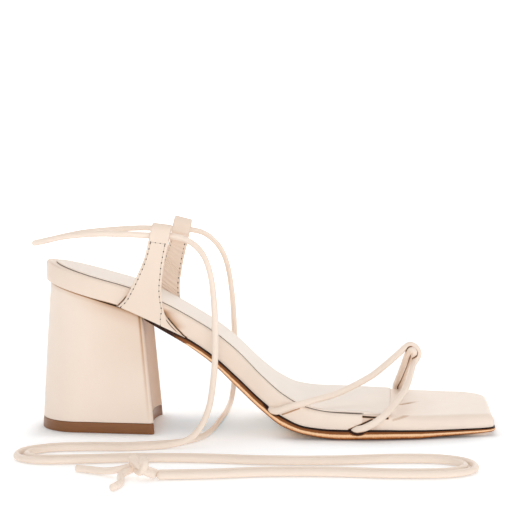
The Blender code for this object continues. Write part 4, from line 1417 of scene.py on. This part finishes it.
def ear_width(side, row):
    """Width of an ear along a row, in millimetres."""
    front, rear = ear_points(side, row, 1.0, 0.0), ear_points(side, row, 0.0, 0.0)
    return np.linalg.norm(front - rear, axis=-1) / MM


class SANDAL_OT_ears(bpy.types.Operator):
    """Adds the strap ears: lined straps, folded in at the top and sewn down as a tunnel for the tie"""

    bl_idname = "sandal.ears"
    bl_label = "Strap ears"

    def execute(self, context):
        colours = context.scene.sandal_colours
        lining = nappa_leather("soft_goat_lining", colours.lining, dimmed(colours.lining, 0.9), 0.8)
        thread = waxed_thread(colours.thread)
        hole = needle_hole(colours.needle_hole)
        for side, name in ((LATERAL, "ear_lateral"), (MEDIAL, "ear_medial")):
            self.strap(side, name)
            self.lining(side, name + "_lining", lining)
            self.stitches(context, side, name, thread, hole)
        return {"FINISHED"}

    def strip(self, side, row, depth, lift, sink, thick, rear, front):
        """A strip of leather along a path of row and depth: round-edged oblongs across it, drawn in by
        the rear and front margins, whose thickness is laid off along the path's own outward way, lift
        in rows and sink in depth. Also gives how far each point is from the front, and its layer."""
        half = thick / 2
        turn = np.linspace(-np.pi / 2, np.pi / 2, 7)
        face = np.concatenate([np.linspace(0, 0.9, 16)[1:], np.linspace(0.9, 1, 12)[1:-1]])
        share = np.concatenate([0 * turn + 1, face[::-1], 0 * turn, face, [1.0]])
        edge = np.concatenate([np.cos(turn) - 1, 0 * face, 1 - np.cos(turn), 0 * face, [-1.0]])
        layer = np.concatenate([np.sin(turn), 0 * face + 1, -np.sin(turn), 0 * face - 1, [-1.0]])
        width = ear_width(side, row)
        across = mix((rear / width)[:, None], 1 - (front / width)[:, None], share[None, :])
        across = across + edge * half / width[:, None]
        pillow = 1 + EAR_PILLOW * np.sin(np.pi * share) ** 0.5 * (np.abs(layer) > 0.99)
        out = layer * pillow * half
        row, depth = row[:, None] + lift[:, None] * out, depth[:, None] + sink[:, None] * out
        return ear_points(side, row, across, depth), (1 - across) * width[:, None], layer

    def strap(self, side, name):
        """The outer leather: straight up from the foot, round a half circle at the top, down inside and
        in against the lining by a smooth step, where it is sewn."""
        per_mm = 1 / TUNNEL_HEIGHT
        half, middle = EAR_WALL / 2, TUNNEL_DEPTH / 2
        bend, lay = middle - half, EAR_THICK + half + FOLD_GAP
        arc = np.linspace(0, np.pi, 25)
        ease = np.linspace(0, 1, 17)
        straight = np.linspace(0, TUNNEL_STRAIGHT, 14)[1:-1]
        back = np.linspace(TUNNEL_STRAIGHT, TUNNEL_BACK_LOW, 8)[1:-1]
        rise = np.concatenate([straight, TUNNEL_STRAIGHT + bend * np.sin(arc), back,
                               mix(TUNNEL_BACK_LOW, TUNNEL_SEAM[0], ease), TUNNEL_SEAM[1:]])
        deep = np.concatenate([0 * straight + half, middle - bend * np.cos(arc), 0 * back + middle + bend,
                               mix(middle + bend, lay, ramp(ease, 0.0, 1.0)), [lay, lay]])
        after = len(back) + len(ease) + 2
        out_rise = np.concatenate([0 * straight, np.sin(arc), np.zeros(after)])
        out_deep = np.concatenate([0 * straight - 1, -np.cos(arc), np.ones(after)])
        foot = np.linspace(0, EAR_STITCH_ROW, 61)
        row = np.concatenate([foot, EAR_STITCH_ROW + rise * per_mm])
        depth = np.concatenate([0 * foot + half, deep])
        lift = np.concatenate([0 * foot, out_rise * per_mm])
        sink = np.concatenate([0 * foot - 1, out_deep])
        front = EAR_LAYER_STEP * ramp(row, *LAYER_STEP_IN) * ramp(row, *EAR_FOOT_IN)
        body, _, _ = self.strip(side, row, depth, lift, sink, EAR_WALL, 0 * row, front)
        ends = closed_ends(body)
        # The strap's leather is dimmed evenly by painted shade
        new_piece(name + "_strap", [body, *ends], cream_leather(), [name],
                  [np.full(sheet.shape[:2], RIM_AND_EAR_SHADE) for sheet in (body, *ends)])

    def lining(self, side, name, leather):
        """The lining: a thinner strip behind the outer leather, from the foot to under the seam. Fine
        level wrinkles, by a sine of its row, bulge it inwards. It shows past the outer leather at the
        front of the foot, with shade painted on it beside the outer leather's edge."""
        row = np.linspace(0.0, EAR_STITCH_ROW - LINING_SHORT, 150)
        thick = EAR_THICK - EAR_WALL
        quick, sway, slow = LINING_WAVE
        wave = np.sin(row * quick + sway * np.sin(row * slow))
        depth = EAR_WALL + thick / 2 + LINING_FOLD * wave * ramp(row, *LINING_FOLD_IN)
        rear, front = LINING_MARGIN + 0 * row, LINING_MARGIN * ramp(row, *LINING_MARGIN_IN)
        body, past, layer = self.strip(side, row, depth, 0 * row, 0 * row + 1, thick, rear, front)
        ends = closed_ends(body)
        # Shade painted on the lining beside the outer leather's edge, the step's shadow
        step = (layer < 0) * ramp(past, EAR_LAYER_STEP - 0.75, EAR_LAYER_STEP - 0.5)
        tones = [step * ramp(row, *LINING_SHADE_IN)[:, None], *(0 * end[..., 0] for end in ends)]
        new_piece(name, [body, *ends], leather, (), tones)

    def stitches(self, context, side, name, thread, hole):
        """Rows of stitches by length along both edges and across the foot of the tunnel, on both faces,
        with a dark capsule between each two as painted shade of a needle hole."""
        sizes = context.scene.sandal_sizes
        margin = sizes.stitch_margin / MM
        row = np.linspace(STITCH_FIRST_ROW, EAR_STITCH_ROW, 200)
        width = ear_width(side, row)
        leave = smooth((0.0, 1.0, 2.0), FRONT_STITCHES, row)
        front = mix(1 - margin / width, leave, ramp(row, *FRONT_STITCH_IN))
        top = np.full(200, EAR_STITCH_ROW + SEAM_STITCH_RISE)
        lines = [
            (row, margin / width),
            (row, front),
            (top, np.linspace(margin / width[-1], 1 - margin / width[-1], 200)),
        ]
        sewn, holes = [], []
        for at_row, across in lines:
            inner = EAR_THICK + (EAR_WALL + FOLD_GAP if at_row is top else 0.0)
            for depth, face in ((-STITCH_OFF, 1), (inner + STITCH_OFF, -1)):
                path = ear_points(side, at_row, across, depth)
                gone = lengths_along(path)
                count = max(2, round(gone[-1] / sizes.stitch))
                at = np.arange(2 * count + 1) * gone[-1] / (2 * count)
                spots = np.stack([np.interp(at, gone, path[:, k]) for k in range(3)], -1)
                turns = np.gradient(path, axis=0)
                ahead = unit(np.stack([np.interp(at, gone, turns[:, k]) for k in range(3)], -1))
                outward = np.broadcast_to(np.array([0.0, side * face, 0.0]), ahead.shape)
                normal = unit(outward - ahead * (outward * ahead).sum(-1, keepdims=True))
                sewn += stitch_sheets(spots[1::2], ahead[1::2], normal[1::2],
                                      sizes.stitch * STITCH_SHARE, sizes.thread, STITCH_PROUD)
                # The holes are dark capsules, the painted shade of needle holes
                holes += stitch_sheets(spots[::2], ahead[::2], normal[::2],
                                       sizes.needle * HOLE_SHARE, sizes.needle, HOLE_PROUD)
        new_piece(name + "_stitches", sewn, thread)
        new_piece(name + "_needle_holes", holes, hole)


class SANDAL_OT_toe_strap(bpy.types.Operator):
    """Adds the toe strap: two bights of rolled cord that hook through each other"""

    bl_idname = "sandal.toe_strap"
    bl_label = "Toe strap"

    def execute(self, context):
        cord = context.scene.sandal_sizes.toe_cord / MM
        cords = [route(knots, TOE_CORD_STEP) for knots in (LATERAL_TOE_CORD, MEDIAL_TOE_CORD)]
        sheets = [cord_sheet(line, cord, TOE_CORD_SIDES, TOE_CORD_TAPER) for line in cords]
        new_piece("toe_cords", sheets, tie_leather(), ["toe_strap"],
                  self.tones(cords, sheets, cord / 2))
        return {"FINISHED"}

    def tones(self, cords, sheets, radius):
        """Painted shade on the cords: dark where another strand touches, by a smooth step of the distance
        from its middle line, and dark below at the tucked ends."""
        lines = [place(*line[:, :3].T) / MM for line in cords]
        gone = [lengths_along(line) for line in lines]
        tones = []
        for k, sheet in enumerate(sheets):
            at = np.concatenate([np.zeros(3), gone[k], np.full(3, gone[k][-1])])
            spots = sheet / MM
            nearest = np.full(spots.shape[:2], np.inf)
            for j, line in enumerate(lines):
                apart = np.linalg.norm(spots[:, :, None] - line, axis=-1)
                own = (np.abs(at[:, None] - gone[j]) < OWN_STRAND)[:, None] * (j == k)
                nearest = np.minimum(nearest, (apart + 99 * own).min(-1))
            # Painted shade where strands touch, and under the tucked ends
            touch = ramp(nearest, *(radius + past for past in TOUCH_IN))
            up = spots[..., 2]
            middle, half = up.mean(1, keepdims=True), np.ptp(up, axis=1)[:, None] / 2
            below = ramp((middle - up) / (half + 1e-6), *BELOW_IN)
            tucked = ramp(np.minimum(at, at[-1] - at), *CORD_END_IN)[:, None]
            tones.append(CORD_SHADE * np.maximum(touch, below * tucked))
        return tones


OPERATORS = (
    SANDAL_OT_stage,
    SANDAL_OT_ties,
    SANDAL_OT_footbed,
    SANDAL_OT_outsole,
    SANDAL_OT_heel,
    SANDAL_OT_ears,
    SANDAL_OT_toe_strap,
)


class SANDAL_PT_panel(bpy.types.Panel):
    """Lists the sandal's pieces and their settings"""

    bl_idname = "SANDAL_PT_panel"
    bl_label = "Heeled sandal"
    bl_space_type = "VIEW_3D"
    bl_region_type = "UI"
    bl_category = "Sandal"

    def draw(self, context):
        layout = self.layout
        scene = context.scene
        for group in (scene.sandal_sizes, scene.sandal_colours, scene.sandal_stage):
            box = layout.box()
            for name in group.__annotations__:
                box.prop(group, name)
        for operator in OPERATORS:
            layout.operator(operator.bl_idname)


CLASSES = (SandalSizes, SandalColours, SandalStage, *OPERATORS, SANDAL_PT_panel)


def register():
    for kind in CLASSES:
        bpy.utils.register_class(kind)
    bpy.types.Scene.sandal_sizes = PointerProperty(type=SandalSizes)
    bpy.types.Scene.sandal_colours = PointerProperty(type=SandalColours)
    bpy.types.Scene.sandal_stage = PointerProperty(type=SandalStage)


def unregister():
    del bpy.types.Scene.sandal_stage
    del bpy.types.Scene.sandal_colours
    del bpy.types.Scene.sandal_sizes
    for kind in reversed(CLASSES):
        bpy.utils.unregister_class(kind)


def main():
    register()
    bpy.ops.sandal.stage()
    bpy.ops.sandal.ties()
    bpy.ops.sandal.footbed()
    bpy.ops.sandal.outsole()
    bpy.ops.sandal.heel()
    bpy.ops.sandal.ears()
    bpy.ops.sandal.toe_strap()


if __name__ == "__main__":
    main()
